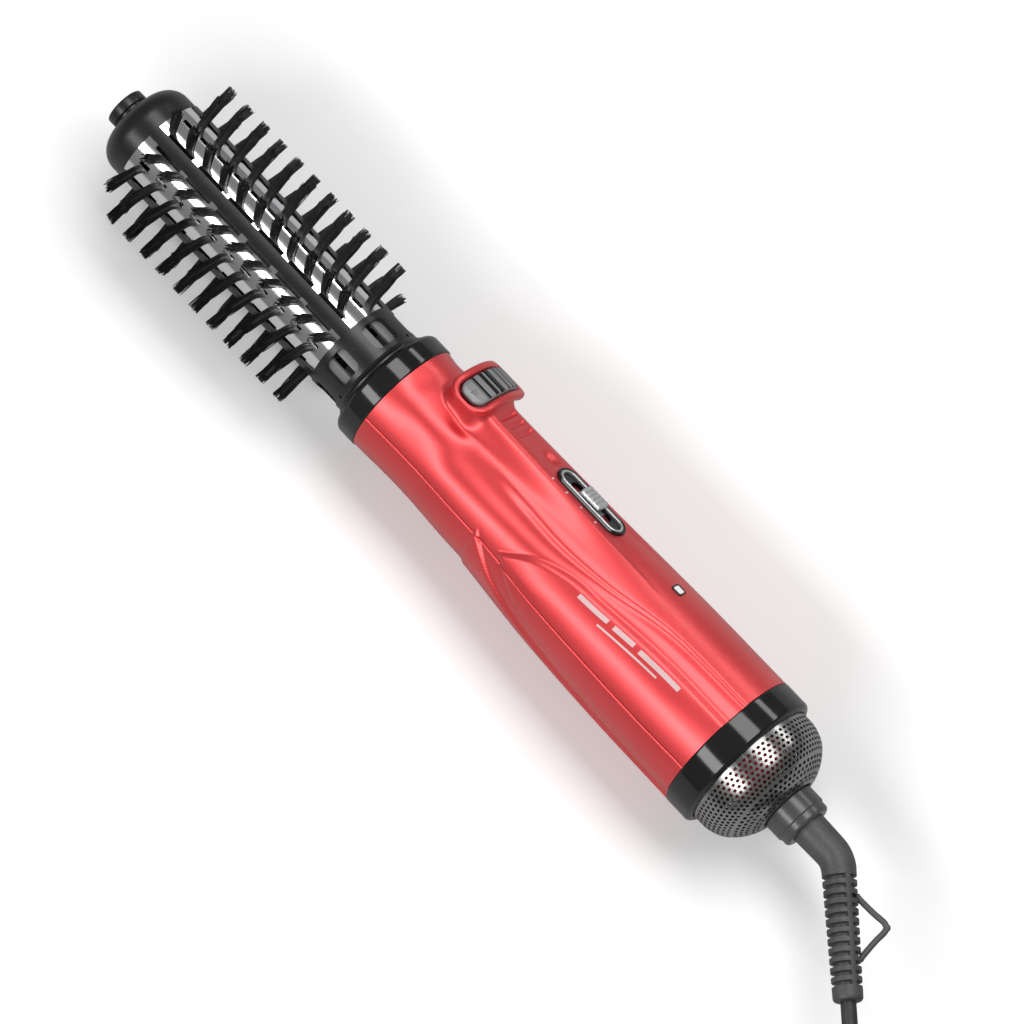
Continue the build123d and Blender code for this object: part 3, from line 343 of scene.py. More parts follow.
FINISHES = {    # by slot: name, two colours, roughness from and to, bump, and the rest
    "red_lacquer": ("red_metallic_lacquer", (0.72, 0.05, 0.056), (0.8, 0.066, 0.07), (0.37, 0.45), 0.02,
        dict(grain=2600, cloud=25, speck=2600, speck_share=0.15, Metallic=0.7, Coat_Weight=0.6, Coat_Roughness=0.28)),
    "gloss_black": ("gloss_black_plastic", (0.006, 0.006, 0.0065), (0.01, 0.01, 0.011), (0.08, 0.13), 0.0, {}),
    "satin_black": ("satin_black_plastic", (0.007, 0.007, 0.0075), (0.012, 0.012, 0.013), (0.27, 0.38), 0.06,
        dict(grain=2400)),
    "barrel_chrome": ("plated_barrel", (0.86, 0.87, 0.88), (0.78, 0.79, 0.81), (0.07, 0.15), 0.012,
        dict(scratches=True, Metallic=1)),
    "nylon_black": ("nylon_bristle", (0.006, 0.006, 0.0065), (0.016, 0.016, 0.017), (0.35, 0.5), 0.0,
        dict(cloud=900, Specular_IOR_Level=0.35)),
    "switch_grey": ("rocker_grey_plastic", (0.17, 0.17, 0.175), (0.22, 0.22, 0.225), (0.28, 0.4), 0.05,
        dict(grain=2200)),
    "silver_plastic": ("silver_paint", (0.5, 0.5, 0.51), (0.6, 0.6, 0.61), (0.25, 0.36), 0.02,
        dict(speck=3000, speck_share=0.3, Metallic=0.7)),
    "spigot_grey": ("spigot_plastic", (0.16, 0.16, 0.165), (0.22, 0.22, 0.225), (0.4, 0.55), 0.1, dict(grain=1500)),
    "gland_black": ("gland_plastic", (0.05, 0.05, 0.052), (0.075, 0.075, 0.078), (0.2, 0.3), 0.04, {}),
    "grille_steel": ("perforated_steel", (0.3, 0.295, 0.29), (0.4, 0.395, 0.39), (0.18, 0.3), 0.02,
        dict(scratches=True, Metallic=1)),
    "inner_red": ("inner_red_plastic", (0.5, 0.02, 0.03), (0.62, 0.04, 0.05), (0.3, 0.4), 0.03, {}),
    "relief_rubber": ("relief_rubber", (0.045, 0.045, 0.047), (0.075, 0.075, 0.078), (0.42, 0.6), 0.25,
        dict(grain=1500, speck=1500, speck_share=0.1)),
    "cord_rubber": ("cord_rubber", (0.016, 0.016, 0.017), (0.03, 0.03, 0.032), (0.45, 0.6), 0.2, {}),
    "tie_black": ("tie_strap", (0.02, 0.02, 0.021), (0.045, 0.045, 0.047), (0.5, 0.7), 0.4, dict(grain=1200)),
    "plug_black": ("plug_plastic", (0.016, 0.016, 0.017), (0.03, 0.03, 0.032), (0.36, 0.5), 0.12, dict(grain=1500)),
    "pin_nickel": ("pin_nickel", (0.72, 0.7, 0.66), (0.62, 0.6, 0.56), (0.14, 0.28), 0.03, dict(Metallic=1)),
    "steel": ("machined_steel", (0.5, 0.5, 0.52), (0.4, 0.4, 0.42), (0.25, 0.4), 0.04,
        dict(scratches=True, Metallic=1)),
    "gear_nylon": ("gear_nylon", (0.82, 0.81, 0.77), (0.74, 0.73, 0.69), (0.4, 0.5), 0.05,
        dict(Subsurface_Weight=0.05)),
    "inner_white": ("inner_white_plastic", (0.72, 0.71, 0.69), (0.64, 0.63, 0.61), (0.45, 0.55), 0.05, {}),
    "board": ("board_green", (0.03, 0.2, 0.08), (0.02, 0.14, 0.06), (0.3, 0.45), 0.1, dict(grain=900)),
    "mica": ("mica_sheet", (0.5, 0.42, 0.3), (0.38, 0.31, 0.22), (0.35, 0.6), 0.15,
        dict(cloud=200, speck=500, speck_share=0.4)),
    "heating_wire": ("heating_wire", (0.4, 0.36, 0.32), (0.28, 0.24, 0.22), (0.4, 0.55), 0.05, dict(Metallic=1)),
    "lamp": ("lamp_lens", (0.92, 0.92, 0.92), (0.85, 0.85, 0.86), (0.12, 0.2), 0.0, dict(Coat_Weight=0.5)),
    "pale_print": ("pale_print", (0.66, 0.46, 0.46), (0.58, 0.4, 0.4), (0.4, 0.5), 0.0, {}),
}
LOOKS = {slot: finish_material(*values, **rest) for slot, (*values, rest) in FINISHES.items()}
for part in frame["record"]["subparts"]:
    materials = frame["nodes"][part["node"]].data.materials
    materials.clear()
    materials.append(LOOKS[part["material_slot"]])


# ---- free cord
CORD_R, CORD_LENGTH = 2.6, 1.69    # the length in metres
ROUTE_TO_COIL = [(0, 0, AXIS_Z), (10.9, -8.8, AXIS_Z - 0.2), (24.9, -20.1, 24.4), (37.7, -29.9, 14.0),
                 (49.7, -37.3, 5.6), (64.0, -41.1, 3.5), (81.3, -38.1, 3.4), (95.6, -28.9, 3.4)]
ROUTE_TO_PLUG = [(75.6, -34.4, 8.6), (79.4, -34.4, 9.8), (86.6, -32.1, 12.6), (92.8, -27.6, 15.0),
                 (97.3, -21.4, 17.2), (99.6, -14.2, 18.4), (99.6, -10.4, 18.5)]
COIL_AT, COIL_R = (75.6, 4.4), 38.8    # the coil's middle from the cord's exit, and its outer line
LAYER_Z = (3.4, 8.6)
COIL_FROM, COIL_TURNS, PER_TURN = -59.0, 7.914, 16


def coil_points():
    """Control points of the coil: the radius steps inwards by a cord's width a turn in the lower layer and
    outwards in the upper one. The points stand outside the line by 1 / cos(pi / points in a turn)."""
    turn = np.arange(0.5, COIL_TURNS * PER_TURN - 0.25) / PER_TURN
    inward = np.minimum(np.floor(turn) + ramp((turn % 1 - 0.88) / 0.12), 3)
    outward = sum(ramp((turn - k - 0.93) / 0.19) for k in (4, 5, 6))
    dip = 2.8 * hump((turn - 4.02) / 0.09)
    radius = (COIL_R - 2 * CORD_R * (inward - outward) - dip) / math.cos(math.pi / PER_TURN)
    height = LAYER_Z[0] + (LAYER_Z[1] - LAYER_Z[0]) * ramp((turn - 3.93) / 0.19)
    angle = np.radians(COIL_FROM) + 2 * math.pi * turn
    return np.stack([COIL_AT[0] + radius * np.cos(angle), COIL_AT[1] + radius * np.sin(angle), height], -1)


def lay_cord():
    """The mains cord as one NURBS line: down to the surface, round the coil and out to the plug."""
    route = np.concatenate([np.array(ROUTE_TO_COIL), coil_points(), np.array(ROUTE_TO_PLUG)])
    route = (route + [EXIT[0], EXIT[1], 0]) * MM
    data = bpy.data.curves.new("mains_cord", "CURVE")
    data.dimensions = "3D"
    data.bevel_depth, data.bevel_resolution, data.resolution_u = CORD_R * MM, 5, 6
    data.use_fill_caps = True
    spline = data.splines.new("NURBS")
    spline.points.add(len(route) - 1)
    spline.points.foreach_set("co", np.c_[route, np.ones(len(route))].ravel())
    spline.order_u = 3
    spline.use_endpoint_u = True
    cord = placed("mains_cord", data)
    data.materials.append(LOOKS["cord_rubber"])
    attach(cord, "cord")
    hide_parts("cord_tube", "cord_coil", "plug_lead")
    return cord


cord = lay_cord()


# ---- plug
PLUG_AT, PLUG_HEADING = (315.13, -39.98, 18.5), 90.0
PLUG_RELIEF_LEN, PLUG_LEN, PLUG_HALF_THICK, PLUG_ROUND = 18.0, 26, 7.0, 1.6
PIN_SPACING = 19.0


def plug_place(along, side, height):
    """From the plug's own directions to the row frame: along its heading, to its left, and up."""
    a = math.radians(PLUG_HEADING)
    along, side, height = np.broadcast_arrays(along, side, height)
    return np.stack([PLUG_AT[0] + along * math.cos(a) - side * math.sin(a),
                     PLUG_AT[1] + along * math.sin(a) + side * math.cos(a), height], -1) * MM


def plug_circle(along, side, radius, count):
    """A circle of points across the plug's heading."""
    angle = np.arange(count) * 2 * math.pi / count
    return plug_place(along, side + radius * np.cos(angle), PLUG_AT[2] + radius * np.sin(angle))


def plug_body():
    """A moulded plug: rounded loops whose half width grows from the relief to the shoulders, with small sine
    steps as grip ridges, and a tapered relief with rings."""
    along = np.linspace(0, PLUG_LEN, 60)
    half_w = curve(along, [0, 4, 8, 13, 18, 26], [6.2, 8.2, 11.5, 16.6, 17.4, 17.4])
    into_round = np.maximum((PLUG_ROUND - np.minimum(along, PLUG_LEN - along)) / PLUG_ROUND, 0)
    ends = np.sqrt(np.clip(1 - into_round ** 2, 0.02, 1))
    grip = 0.35 * np.cos(along * 2 * math.pi / 2.6) * ramp((along - 12) / 1.5) * (1 - ramp((along - 21) / 1.5))
    loops = []
    for a, w, e, g in zip(along, half_w, ends, grip):
        shrink = (1 - e) * PLUG_ROUND
        y, z = rounded_rect((w + g) - shrink, PLUG_HALF_THICK - shrink - 0.01, 3.2, 8, 6)
        loops.append(plug_place(PLUG_RELIEF_LEN + a, y, PLUG_AT[2] + z))
    body = loft(loops)
    run = np.linspace(0, 19, 96)
    radius = 3.5 + 0.9 * run / 18 - 0.45 * (np.mod(run - 2.0, 3.0) < 0.9) * (run > 2) * (run < 16)
    radius[0] = 3.1
    rings = [plug_circle(a, 0, r, 32) for a, r in zip(run, radius)]
    return joined(body, loft(rings))


def plug_pins():
    """Two round pins: a sleeve, a slightly thinner bright end and a domed tip."""
    stations = PLUG_RELIEF_LEN + PLUG_LEN + np.array([0, 9.9, 10, 10.1, 17.2, 18, 18.6, 18.95])
    radii = [2.4, 2.4, 2.38, 2.3, 2.3, 2.1, 1.5, 0.5]
    return joined(*(loft([plug_circle(a, side, r, 28) for a, r in zip(stations, radii)])
                    for side in (-PIN_SPACING / 2, PIN_SPACING / 2)))


plug = finished("moulded_plug", *plug_body(), "cord", "plug_black", ["plug_body"])
pins = finished("plug_pin_pair", *plug_pins(), "cord", "pin_nickel", ["plug_pins"])


def coil_ties():
    """Two fabric straps round the coil: a rounded loop across the winding, carried over the strap's width."""
    parts = []
    mid, half_span, low, high = 31.0, 11.2, 0.1, 11.95
    for heading in (120.0, 225.0):
        a = math.radians(heading)
        loops = []
        for inset, across in ((0, -4), (0, -2), (0, 0), (0, 2), (0, 4), (0.7, 4), (0.7, 0), (0.7, -4)):
            u, v = rounded_rect(half_span - inset, (high - low) / 2 - inset, 3.2 - inset, 8, 6)
            out, height = mid + u, (high + low) / 2 + v
            x = EXIT[0] + COIL_AT[0] + out * math.cos(a) - across * math.sin(a)
            y = EXIT[1] + COIL_AT[1] + out * math.sin(a) + across * math.cos(a)
            loops.append(np.stack([x, y, height], -1) * MM)
        parts.append(loft(loops, ring=True))
    return joined(*parts)


finished("coil_tie_pair", *coil_ties(), "cord", "tie_black", ["cord_ties"])


# ---- swivel relief and hanging loop
BEND_REACH = 4.0    # from the elbow to each end of its bend


def along_relief(along, side=0.0):
    """A point beside the relief's line, in the level plane through the axis."""
    a = math.radians(RELIEF_BEND)
    return (X_ELBOW - X_MID + along * math.cos(a) + side * math.sin(a),
            -along * math.sin(a) + side * math.cos(a))


def relief_line():
    """The neck and the relief as one line: straight, a short bend round the elbow, then straight."""
    corner = np.array([X_ELBOW - X_MID, 0.0])
    start, end = corner - [BEND_REACH, 0], np.array(along_relief(BEND_REACH))
    neck = np.linspace(X_GLAND_END - 6 - X_MID, start[0], 24)
    straight = np.stack([neck, 0 * neck], -1)
    t = np.linspace(0, 1, 16)[1:-1, None]
    bend = (1 - t) ** 2 * start + 2 * t * (1 - t) * corner + t * t * end
    s = np.linspace(BEND_REACH, RELIEF_LEN, 240)
    body = np.stack(along_relief(s), -1)
    return np.concatenate([straight, bend, body]), np.concatenate([0 * neck, 0 * t[:, 0], s])


BANDS, FIRST_BAND, BAND_DEPTH, STRIPS = 12, 6.0, 1.5, (-28.0, 152.0)


def swivel_relief():
    """A rubber sleeve: its radius tapers from 5.75 to 4.95 and drops in evenly spaced bands, which two plain
    strips along the sleeve interrupt."""
    line, s = relief_line()
    count = 96
    angle = np.arange(count) * 360 / count
    taper = np.where(s > 0, 5.75 - 0.8 * s / RELIEF_LEN, 6.15 - 0.4 * ramp(np.arange(len(s)) / 38))
    phase = np.mod(s - FIRST_BAND, (RELIEF_LEN - 9.0) / BANDS)
    band = ramp(phase / 0.25) * (1 - ramp((phase - 1.25) / 0.25)) * (s > FIRST_BAND) * (s < RELIEF_LEN - 3.2)
    away = np.abs(np.mod(angle[None, :] - np.array(STRIPS)[:, None] + 180, 360) - 180)
    open_side = ramp((away.min(axis=0) - 9) / 4)
    radius = taper[:, None] - BAND_DEPTH * band[:, None] * open_side[None, :]
    end = np.clip((RELIEF_LEN - s) / 1.4, 0, 1)
    radius = radius - 0.9 * (1 - np.sqrt(1 - (1 - end) ** 2))[:, None] * (s > 0)[:, None]
    path = np.c_[line, np.full(len(line), AXIS_Z)] * MM
    return swept(path, radius * MM, count)


def hanging_loop():
    """A bent wire loop in the level plane: two slanting legs joined by a round nose."""
    corners = np.array([(12.3, 4.6), (21.5, 13.4), (23.6, 14.3), (25.2, 13.3), (33.7, 4.3)])
    t = np.linspace(0, 4, 90)
    s = curve(t, range(5), corners[:, 0])
    reach = np.interp(t, range(5), corners[:, 1])
    reach = np.convolve(np.pad(reach, 4, mode="edge"), np.ones(9) / 9, mode="valid")
    x, y = along_relief(s, reach)
    return swept(np.stack([x, y, np.full(len(x), AXIS_Z)], -1) * MM, np.full(len(x), 1.05 * MM), 20)


finished("grooved_relief", *swivel_relief(), "cord", "relief_rubber", ["swivel_relief"], crease=40)
finished("wire_hanging_loop", *hanging_loop(), "cord", "relief_rubber", ["hanging_loop"])


# ---- handle skin
OUTLINE = [X_SHELL, 28.8, 60.8, 92.8, 123.8, X_REAR_RING], [21.3, 20.7, 22.3, 25.0, 26.2, 26.6]    # x and radius
POD_X, POD_HALF_LEN, POD_HALF_WIDTH, POD_R = 29.0, 6.9, 12.0, 26.8
SLIDE_X, SLIDE_HALF_LEN, SLIDE_HALF_WIDTH = 79.3, 15.0, 4.8
POD_FLOOR_R, SLIDE_FLOOR_R, LED_X = 22.2, 21.4, 120.0
GRIP_GROOVES = (39.75, 43.75, 47.75)
# Edges of the raised panels: x, and degrees from the top
DECK = [34, 68, 83, 105, 128, 165], [38, 46, 48, 43.5, 33.4, 30.5]
LEAF_TOP = [71, 82, 92, 111, 136, 165], [89, 68, 59, 54, 49.5, 49.0]
LEAF_LOW = [71, 76, 84, 94, 107, 136, 165], [89, 98, 111, 117, 120, 125, 128]
BELLY = [60, 66, 74, 81, 95, 120, 165], [88, 100, 115, 123, 131, 138, 143]


def shell_radius(x, beta):
    """Radius of the waisted handle: its outline, plus a raised control deck, a leaf-shaped panel on each
    side and a belly panel, with the ribbon between them lower; each edge is a signed distance in mm
    turned into a step and a crease. The pod's foot, the grip grooves and the switch wells are added."""
    x, beta = np.broadcast_arrays(np.asarray(x, float), np.asarray(beta, float))
    b = np.abs(np.mod(beta + 180, 360) - 180)
    base = curve(x, *OUTLINE)
    arc = base * math.pi / 180
    deck = (curve(x, *DECK) - b) * arc
    leaf = np.minimum(b - curve(x, *LEAF_TOP), curve(x, *LEAF_LOW) - b) * arc
    leaf = np.where(x > 71, leaf, x - 71)
    belly = np.minimum((b - curve(x, *BELLY)) * arc, (x - 61) * 0.9)
    soft = np.interp(x, [34, 70, 105, 165], [5.0, 3.2, 1.5, 1.0])
    raised = np.maximum(np.maximum(ramp(deck / soft + 0.5), ramp(leaf / 3.2 + 0.25)), ramp(belly / 1.8 + 0.3))
    low = 0.95 * ramp((x - 44) / 26)
    r = base + low * (raised - 0.93)
    depth = 1.5 * ramp((x - 32) / 10) * np.interp(x, [60, 100, 165], [1.0, 0.35, 0.12])
    r = r - 0.8 * depth * hump((deck + 1.1 * soft) / (1.25 * soft))
    r = r - 0.16 * ramp((x - 70) / 4) * hump((leaf + 0.35) / 0.6)
    r = r + 0.55 * ramp(leaf / 12) * ramp((x - 72) / 18) * (1 - ramp((x - 140) / 24))
    r = r - 0.25 * ramp((x - 60) / 6) * hump((belly + 0.5) / 0.8)
    flat_top = 24.8 / np.cos(np.radians(np.minimum(b, 18)))
    r = r + np.maximum(flat_top - base, 0) * (1 - ramp((b - 11) / 25)) * ramp((x - 30) / 6)
    across = 25.5 * np.radians(b)
    thumb = np.hypot((x - 59.6) / 4.2, across / 4.6)
    r = r - (1 - ramp((thumb - 0.35) / 0.65))
    for middle in GRIP_GROOVES:
        groove = np.abs(x - middle) - 0.85
        r = r - 0.85 * (1 - ramp((groove + 0.3) / 0.45)) * (1 - ramp((across - 4.3) / 0.8))
    r = r + hump((x - 25) / 10) * hump((b - 56) / 15)
    pod = from_rounded_rect(x - POD_X, 26.0 * np.radians(b), POD_HALF_LEN, POD_HALF_WIDTH, 4.2)
    r = r - 0.6 * hump((x - 13) / 4) * hump((b - 31) / 14) - hump((x - 33) / 4.5) * hump((b - 37) / 6)
    foot = np.clip(1 - pod / 4.4, 0, 1) ** 2.8
    r = r + (POD_R - np.minimum(r, POD_R)) * foot
    well = 1 - ramp((pod + 2.2) / 0.6)
    r = r + (POD_FLOOR_R - r) * well
    slot = np.hypot(np.maximum(np.abs(x - SLIDE_X) - (SLIDE_HALF_LEN - SLIDE_HALF_WIDTH), 0), across)
    well = 1 - ramp((slot - SLIDE_HALF_WIDTH + 1.5) / 0.5)
    return r + (SLIDE_FLOOR_R - r) * well


def shell_half(first, last, columns, rows):
    """One moulded half: an outer skin with rows along X and columns round, its edges rolled in by 0.4 over the
    last 0.5 at the seam, and an inner skin 2 mm in, joined round the rim."""
    x = np.asarray(rows)[:, None]
    beta = np.asarray(columns)[None, :]
    r = shell_radius(x, beta)
    from_edge = np.minimum(beta - first, last - beta) * r * math.pi / 180
    r = r - 0.4 * (1 - np.sqrt(1 - (1 - np.clip(from_edge / 0.5, 0, 1)) ** 2))
    outer = polar(x, r, beta)
    inner = polar(x, np.minimum(r - 2.0, curve(x, *OUTLINE) - 2.2 + 0 * beta), beta)
    points = np.concatenate([outer, inner[:, ::-1]], axis=1)
    count_r, count_c = points.shape[:2]
    faces = grid_faces(count_r, count_c)
    j = np.arange(count_c // 2 - 1)
    for row in (0, count_r - 1):
        rim = np.stack([j, j + 1, count_c - 2 - j, count_c - 1 - j], -1) + row * count_c
        faces += rim.tolist()
    return points.reshape(-1, 3), faces


SEAM, SEAM_GAP = 94.6, 0.6
shell_rows = np.unique(np.concatenate([
    np.linspace(X_SHELL, 18, 14), np.linspace(18, 62, 112), np.linspace(62, 97, 62),
    np.linspace(97, X_REAR_RING, 76)]))
edge = np.array([0.0, 0.25, 0.6, 1.1])
top_columns = np.concatenate([
    -SEAM + edge, np.linspace(-92, -36, 44), np.linspace(-34.9, 34.9, 64), np.linspace(36, 92, 44),
    SEAM - edge[::-1]])
low_first, low_last = SEAM + SEAM_GAP, 360 - SEAM - SEAM_GAP
low_columns = np.concatenate([low_first + edge, np.linspace(97.5, 262.5, 96), low_last - edge[::-1]])
finished("handle_top_half", *shell_half(-SEAM, SEAM, top_columns, shell_rows), "handle", "red_lacquer",
         ["top_shell"], crease=60)
low_rows = np.unique(np.concatenate([
    np.linspace(X_SHELL, 60, 40), np.linspace(60, 110, 76), np.linspace(110, X_REAR_RING, 50)]))
finished("handle_lower_half", *shell_half(low_first, low_last, low_columns, low_rows), "handle",
         "red_lacquer", ["bottom_shell"], crease=60)


SCREW_X, SCREW_Y, THREAD_PITCH = (96.8, 118.0), 19.2, 0.9


def case_screws():
    """Four screws up through the lower half: a shank with a sine thread, and a low domed head."""
    shank = np.linspace(5.0, -10.9, 150)
    z = np.concatenate([shank, [-11.0, -11.9, -12.2, -12.25]])
    radius = np.concatenate([1.0 + 0.1 * np.sin(shank * 2 * math.pi / THREAD_PITCH), [1.5, 1.5, 1.2, 0.4]])
    angle = (np.arange(16) * math.pi / 8)[None, :]
    across, along = radius[:, None] * np.cos(angle), radius[:, None] * np.sin(angle)
    return joined(*(loft(flat(x + across, y + along, z[:, None]))
                    for x in SCREW_X for y in (-SCREW_Y, SCREW_Y)))


finished("case_screw_set", *case_screws(), "handle", "steel", ["shell_screws"])


PRINT_LIFT, PRINT_SINK = 0.06, -0.3
BARS = ((101, 13, 4.0, 1.7), (116.5, 9, 4.2, 1.7), (128, 18, 4.6, 1.7), (112, 26, 7.4, 0.7))
SWITCH_MARKS = (66.0, 72.5, 79.3, 86.0)


def pad(x, upper, lower, beta):
    """A closed pad between two radii over a grid of x and beta."""
    return loft(np.concatenate([polar(x, upper, beta), polar(x, lower, beta)[:, ::-1]], axis=1))


def print_bars():
    """Pale bars on the side panels (start, length, distance below the panel's edge, height) and four marks
    beside the slide: thin pads just over the skin."""
    places = []
    for side in (-1, 1):
        for start, length, drop, tall in BARS:
            x = (start + length * np.linspace(0, 1, 40))[:, None]
            b = curve(x, *LEAF_TOP) + drop * 1.9 + (np.linspace(0, 1, 5)[None, :] - 0.5) * tall * 2.2
            places.append((x, side * b))
    for k, middle in enumerate(SWITCH_MARKS):
        x = np.linspace(middle - 0.35, middle + 0.35, 4)[:, None]
        places.append((x, np.linspace(-15.2, -13.4 + 0.5 * (k % 2), 5)[None, :]))
    return joined(*(pad(x, shell_radius(x, b) + PRINT_LIFT, shell_radius(x, b) + PRINT_SINK, b) for x, b in places))


finished("pale_marks", *print_bars(), "handle", "silver_plastic", look="pale_print")


# ---- rocker pod
POD_MEAN_R = 29.0
ROCKER_HALF_X, ROCKER_HALF_Y, ROCKER_CORNER, ROCKER_LOW_R = 4.9, 13.36, 3.6, 28.45
GROOVES = ((-16.4, 0.4, 0.55), (-14.9, 0.4, 0.55), (-8.6, 0.5, 0.5), (-2.0, 1.9, 0.8), (3.4, 0.4, 0.4),
           (9.0, 0.5, 0.55), (14.2, 0.9, 0.6), (18.6, 0.5, 0.4))
INLAYS = ((-14.9, 0.9), (-7.6, 1.3), (-1.2, 1.5), (6.2, 1.0), (11.6, 0.9), (17.2, 0.8))


def bar_section(half):
    """A bar's cross-section: its half from the side's foot to the top, mirrored about the middle."""
    return np.array([(-a, b) for a, b in half] + [(0, 1)] + half[::-1], float)


def rocker_top(beta, level):
    """The rocker's top: lower at both ends, and slightly hollow."""
    return level - 0.5 * ramp((np.abs(beta) - 22) / 4.4) - 0.25 * (1 - hump(beta / 22))


def pod_lip():
    """The pod's lip: rounded rectangles wrapped round the axis (width / 29 = angle), stacked from the
    undercut, out over a round edge, across the top and down into the opening."""
    section = [(7.0, 13.2, 4.6, 26.4), (7.3, 14.2, 5.0, 26.9), (7.8, 15.5, 5.6, 27.5), (8.1, 16.1, 6.0, 28.3),
               (8.15, 16.25, 6.1, 29.2), (8.0, 16.1, 6.0, 29.9), (7.65, 15.8, 5.8, 30.3), (7.1, 15.5, 5.4, 30.45),
               (6.3, 15.2, 5.1, 30.4), (5.75, 15.0, 4.8, 30.2), (5.4, 14.85, 4.6, 29.8), (5.3, 14.8, 4.5, 28.6),
               (5.3, 14.8, 4.5, 26.4)]
    loops = []
    for half_x, half_y, corner, radius in section:
        u, v = rounded_rect(half_x, half_y, corner, 12, 14)
        loops.append(polar(POD_X + u, radius, np.degrees(v / POD_MEAN_R)))
    return loft(loops, ring=True)


def rocker():
    """The rocker cap: a rounded bar cross-section carried round the axis from -26.4 to 26.4 degrees. Its top
    is raised by ridges: grooves of given centre, width and depth are taken from a level top."""
    beta = np.linspace(-26.4, 26.4, 190)
    past = np.maximum(np.abs(np.radians(beta) * POD_MEAN_R) - (ROCKER_HALF_Y - ROCKER_CORNER), 0)
    reach = ROCKER_HALF_X - ROCKER_CORNER + np.sqrt(np.clip(ROCKER_CORNER ** 2 - past ** 2, 0.02, None))
    top = rocker_top(beta, 30.9)
    for centre, width, depth in GROOVES:
        away = np.abs(beta - centre) * 0.541 - width / 2
        top = top - depth * (1 - ramp((away + 0.12) / 0.3))
    shape = bar_section([(1, 0), (1, 0.35), (0.99, 0.62), (0.955, 0.82), (0.88, 0.95), (0.75, 1), (0.4, 1)])
    x = POD_X + reach[:, None] * shape[None, :, 0]
    r = ROCKER_LOW_R + (top[:, None] - ROCKER_LOW_R) * shape[None, :, 1]
    hub = polar(np.array([[-ROCKER_HALF_X], [ROCKER_HALF_X]]) + POD_X, np.array([[26.0, 28.6, 28.6, 26.0]]),
                np.array([[-6.5, -6.5, 6.5, 6.5]]))
    return joined(loft(polar(x, r, beta[:, None])), loft(hub))


def rocker_mark():
    """A small outlined triangle on the rocker's plain end: three corners joined by a thin raised band."""
    corner = np.radians([90, 210, 330, 90])
    t = np.linspace(0, 3, 61)[:-1]
    u, v = (np.interp(t, range(4), 1.25 * side(corner)) for side in (np.sin, np.cos))
    loops = [polar(POD_X + u * size, 30.72 + lift, -21.2 + np.degrees(v * size / POD_MEAN_R))
             for size, lift in ((1, -0.3), (1, 0.05), (0.75, 0.05), (0.75, -0.3))]
    return loft(loops, ring=True)


def rocker_bands():
    """Black inlays across the rocker (centre and half width in degrees), a trace proud of its top."""
    pads = []
    x = POD_X + np.linspace(-4.55, 4.55, 24)[None, :]
    for centre, half_width in INLAYS:
        beta = centre + np.linspace(-half_width, half_width, 5)[:, None]
        top = rocker_top(beta, 30.93)
        pads.append(pad(x, top, top - 1.2, beta))
    return joined(*pads)


finished("rocker_inlays", *rocker_bands(), "rocker", "gloss_black")
finished("pod_lip", *pod_lip(), "handle", "red_lacquer", ["rocker_frame"], crease=50)
finished("rocker_cap", *rocker(), "rocker", "switch_grey", ["rocker_button"])
finished("rocker_triangle", *rocker_mark(), "rocker", "satin_black")


# ---- slide switch and lamp
def flat_rings(section, x, closed=False, steps=(12, 10)):
    """Rounded rectangles (half length, half width, corner, height) stacked over the axis at x: a ring, or a
    closed block with flat ends."""
    loops = []
    for half_x, half_y, corner, z in section:
        u, v = rounded_rect(half_x, half_y, corner, *steps)
        loops.append(flat(x + u, v, z))
    return loft(loops, ring=not closed)


def pill(section):
    """Turns (half length, half width, height) into rounded rectangles with fully round ends."""
    return [(a, b, b - 0.02, z) for a, b, z in section]


bezel_rim = flat_rings(pill([
    (15.0, 4.8, 24.0), (15.0, 4.8, 25.5), (14.9, 4.7, 25.8), (14.65, 4.45, 26.0), (14.2, 4.0, 26.0),
    (14.0, 3.8, 25.85), (13.95, 3.75, 24.9), (13.95, 3.75, 24.0)]), SLIDE_X)
bezel_floor = flat_rings(pill([
    (13.9, 3.7, 24.4), (13.9, 3.7, 25.1), (8.95, 2.35, 25.1), (8.95, 2.35, 24.4)]), SLIDE_X)
bezel_tub = flat_rings(pill([
    (13.25, 3.3, 21.5), (13.25, 3.3, 24.5), (13.1, 3.22, 24.5), (13.1, 3.22, 22.1)]), SLIDE_X, closed=True)
finished("slide_bezel_rim", *joined(bezel_rim, bezel_floor, bezel_tub), "handle", "gloss_black",
         ["slide_bezel"])
finished("slide_silver_lining", *flat_rings(pill([
    (13.9, 3.7, 25.1), (13.9, 3.7, 25.8), (13.75, 3.55, 25.95), (13.2, 3.0, 25.95), (13.0, 2.8, 25.8),
    (13.0, 2.8, 25.1)]), SLIDE_X), "handle", "silver_plastic")


SLIDE_LOW_Z, LAMP_Z = 26.45, 26.45    # underside of the slide's cap, and the lamp's level


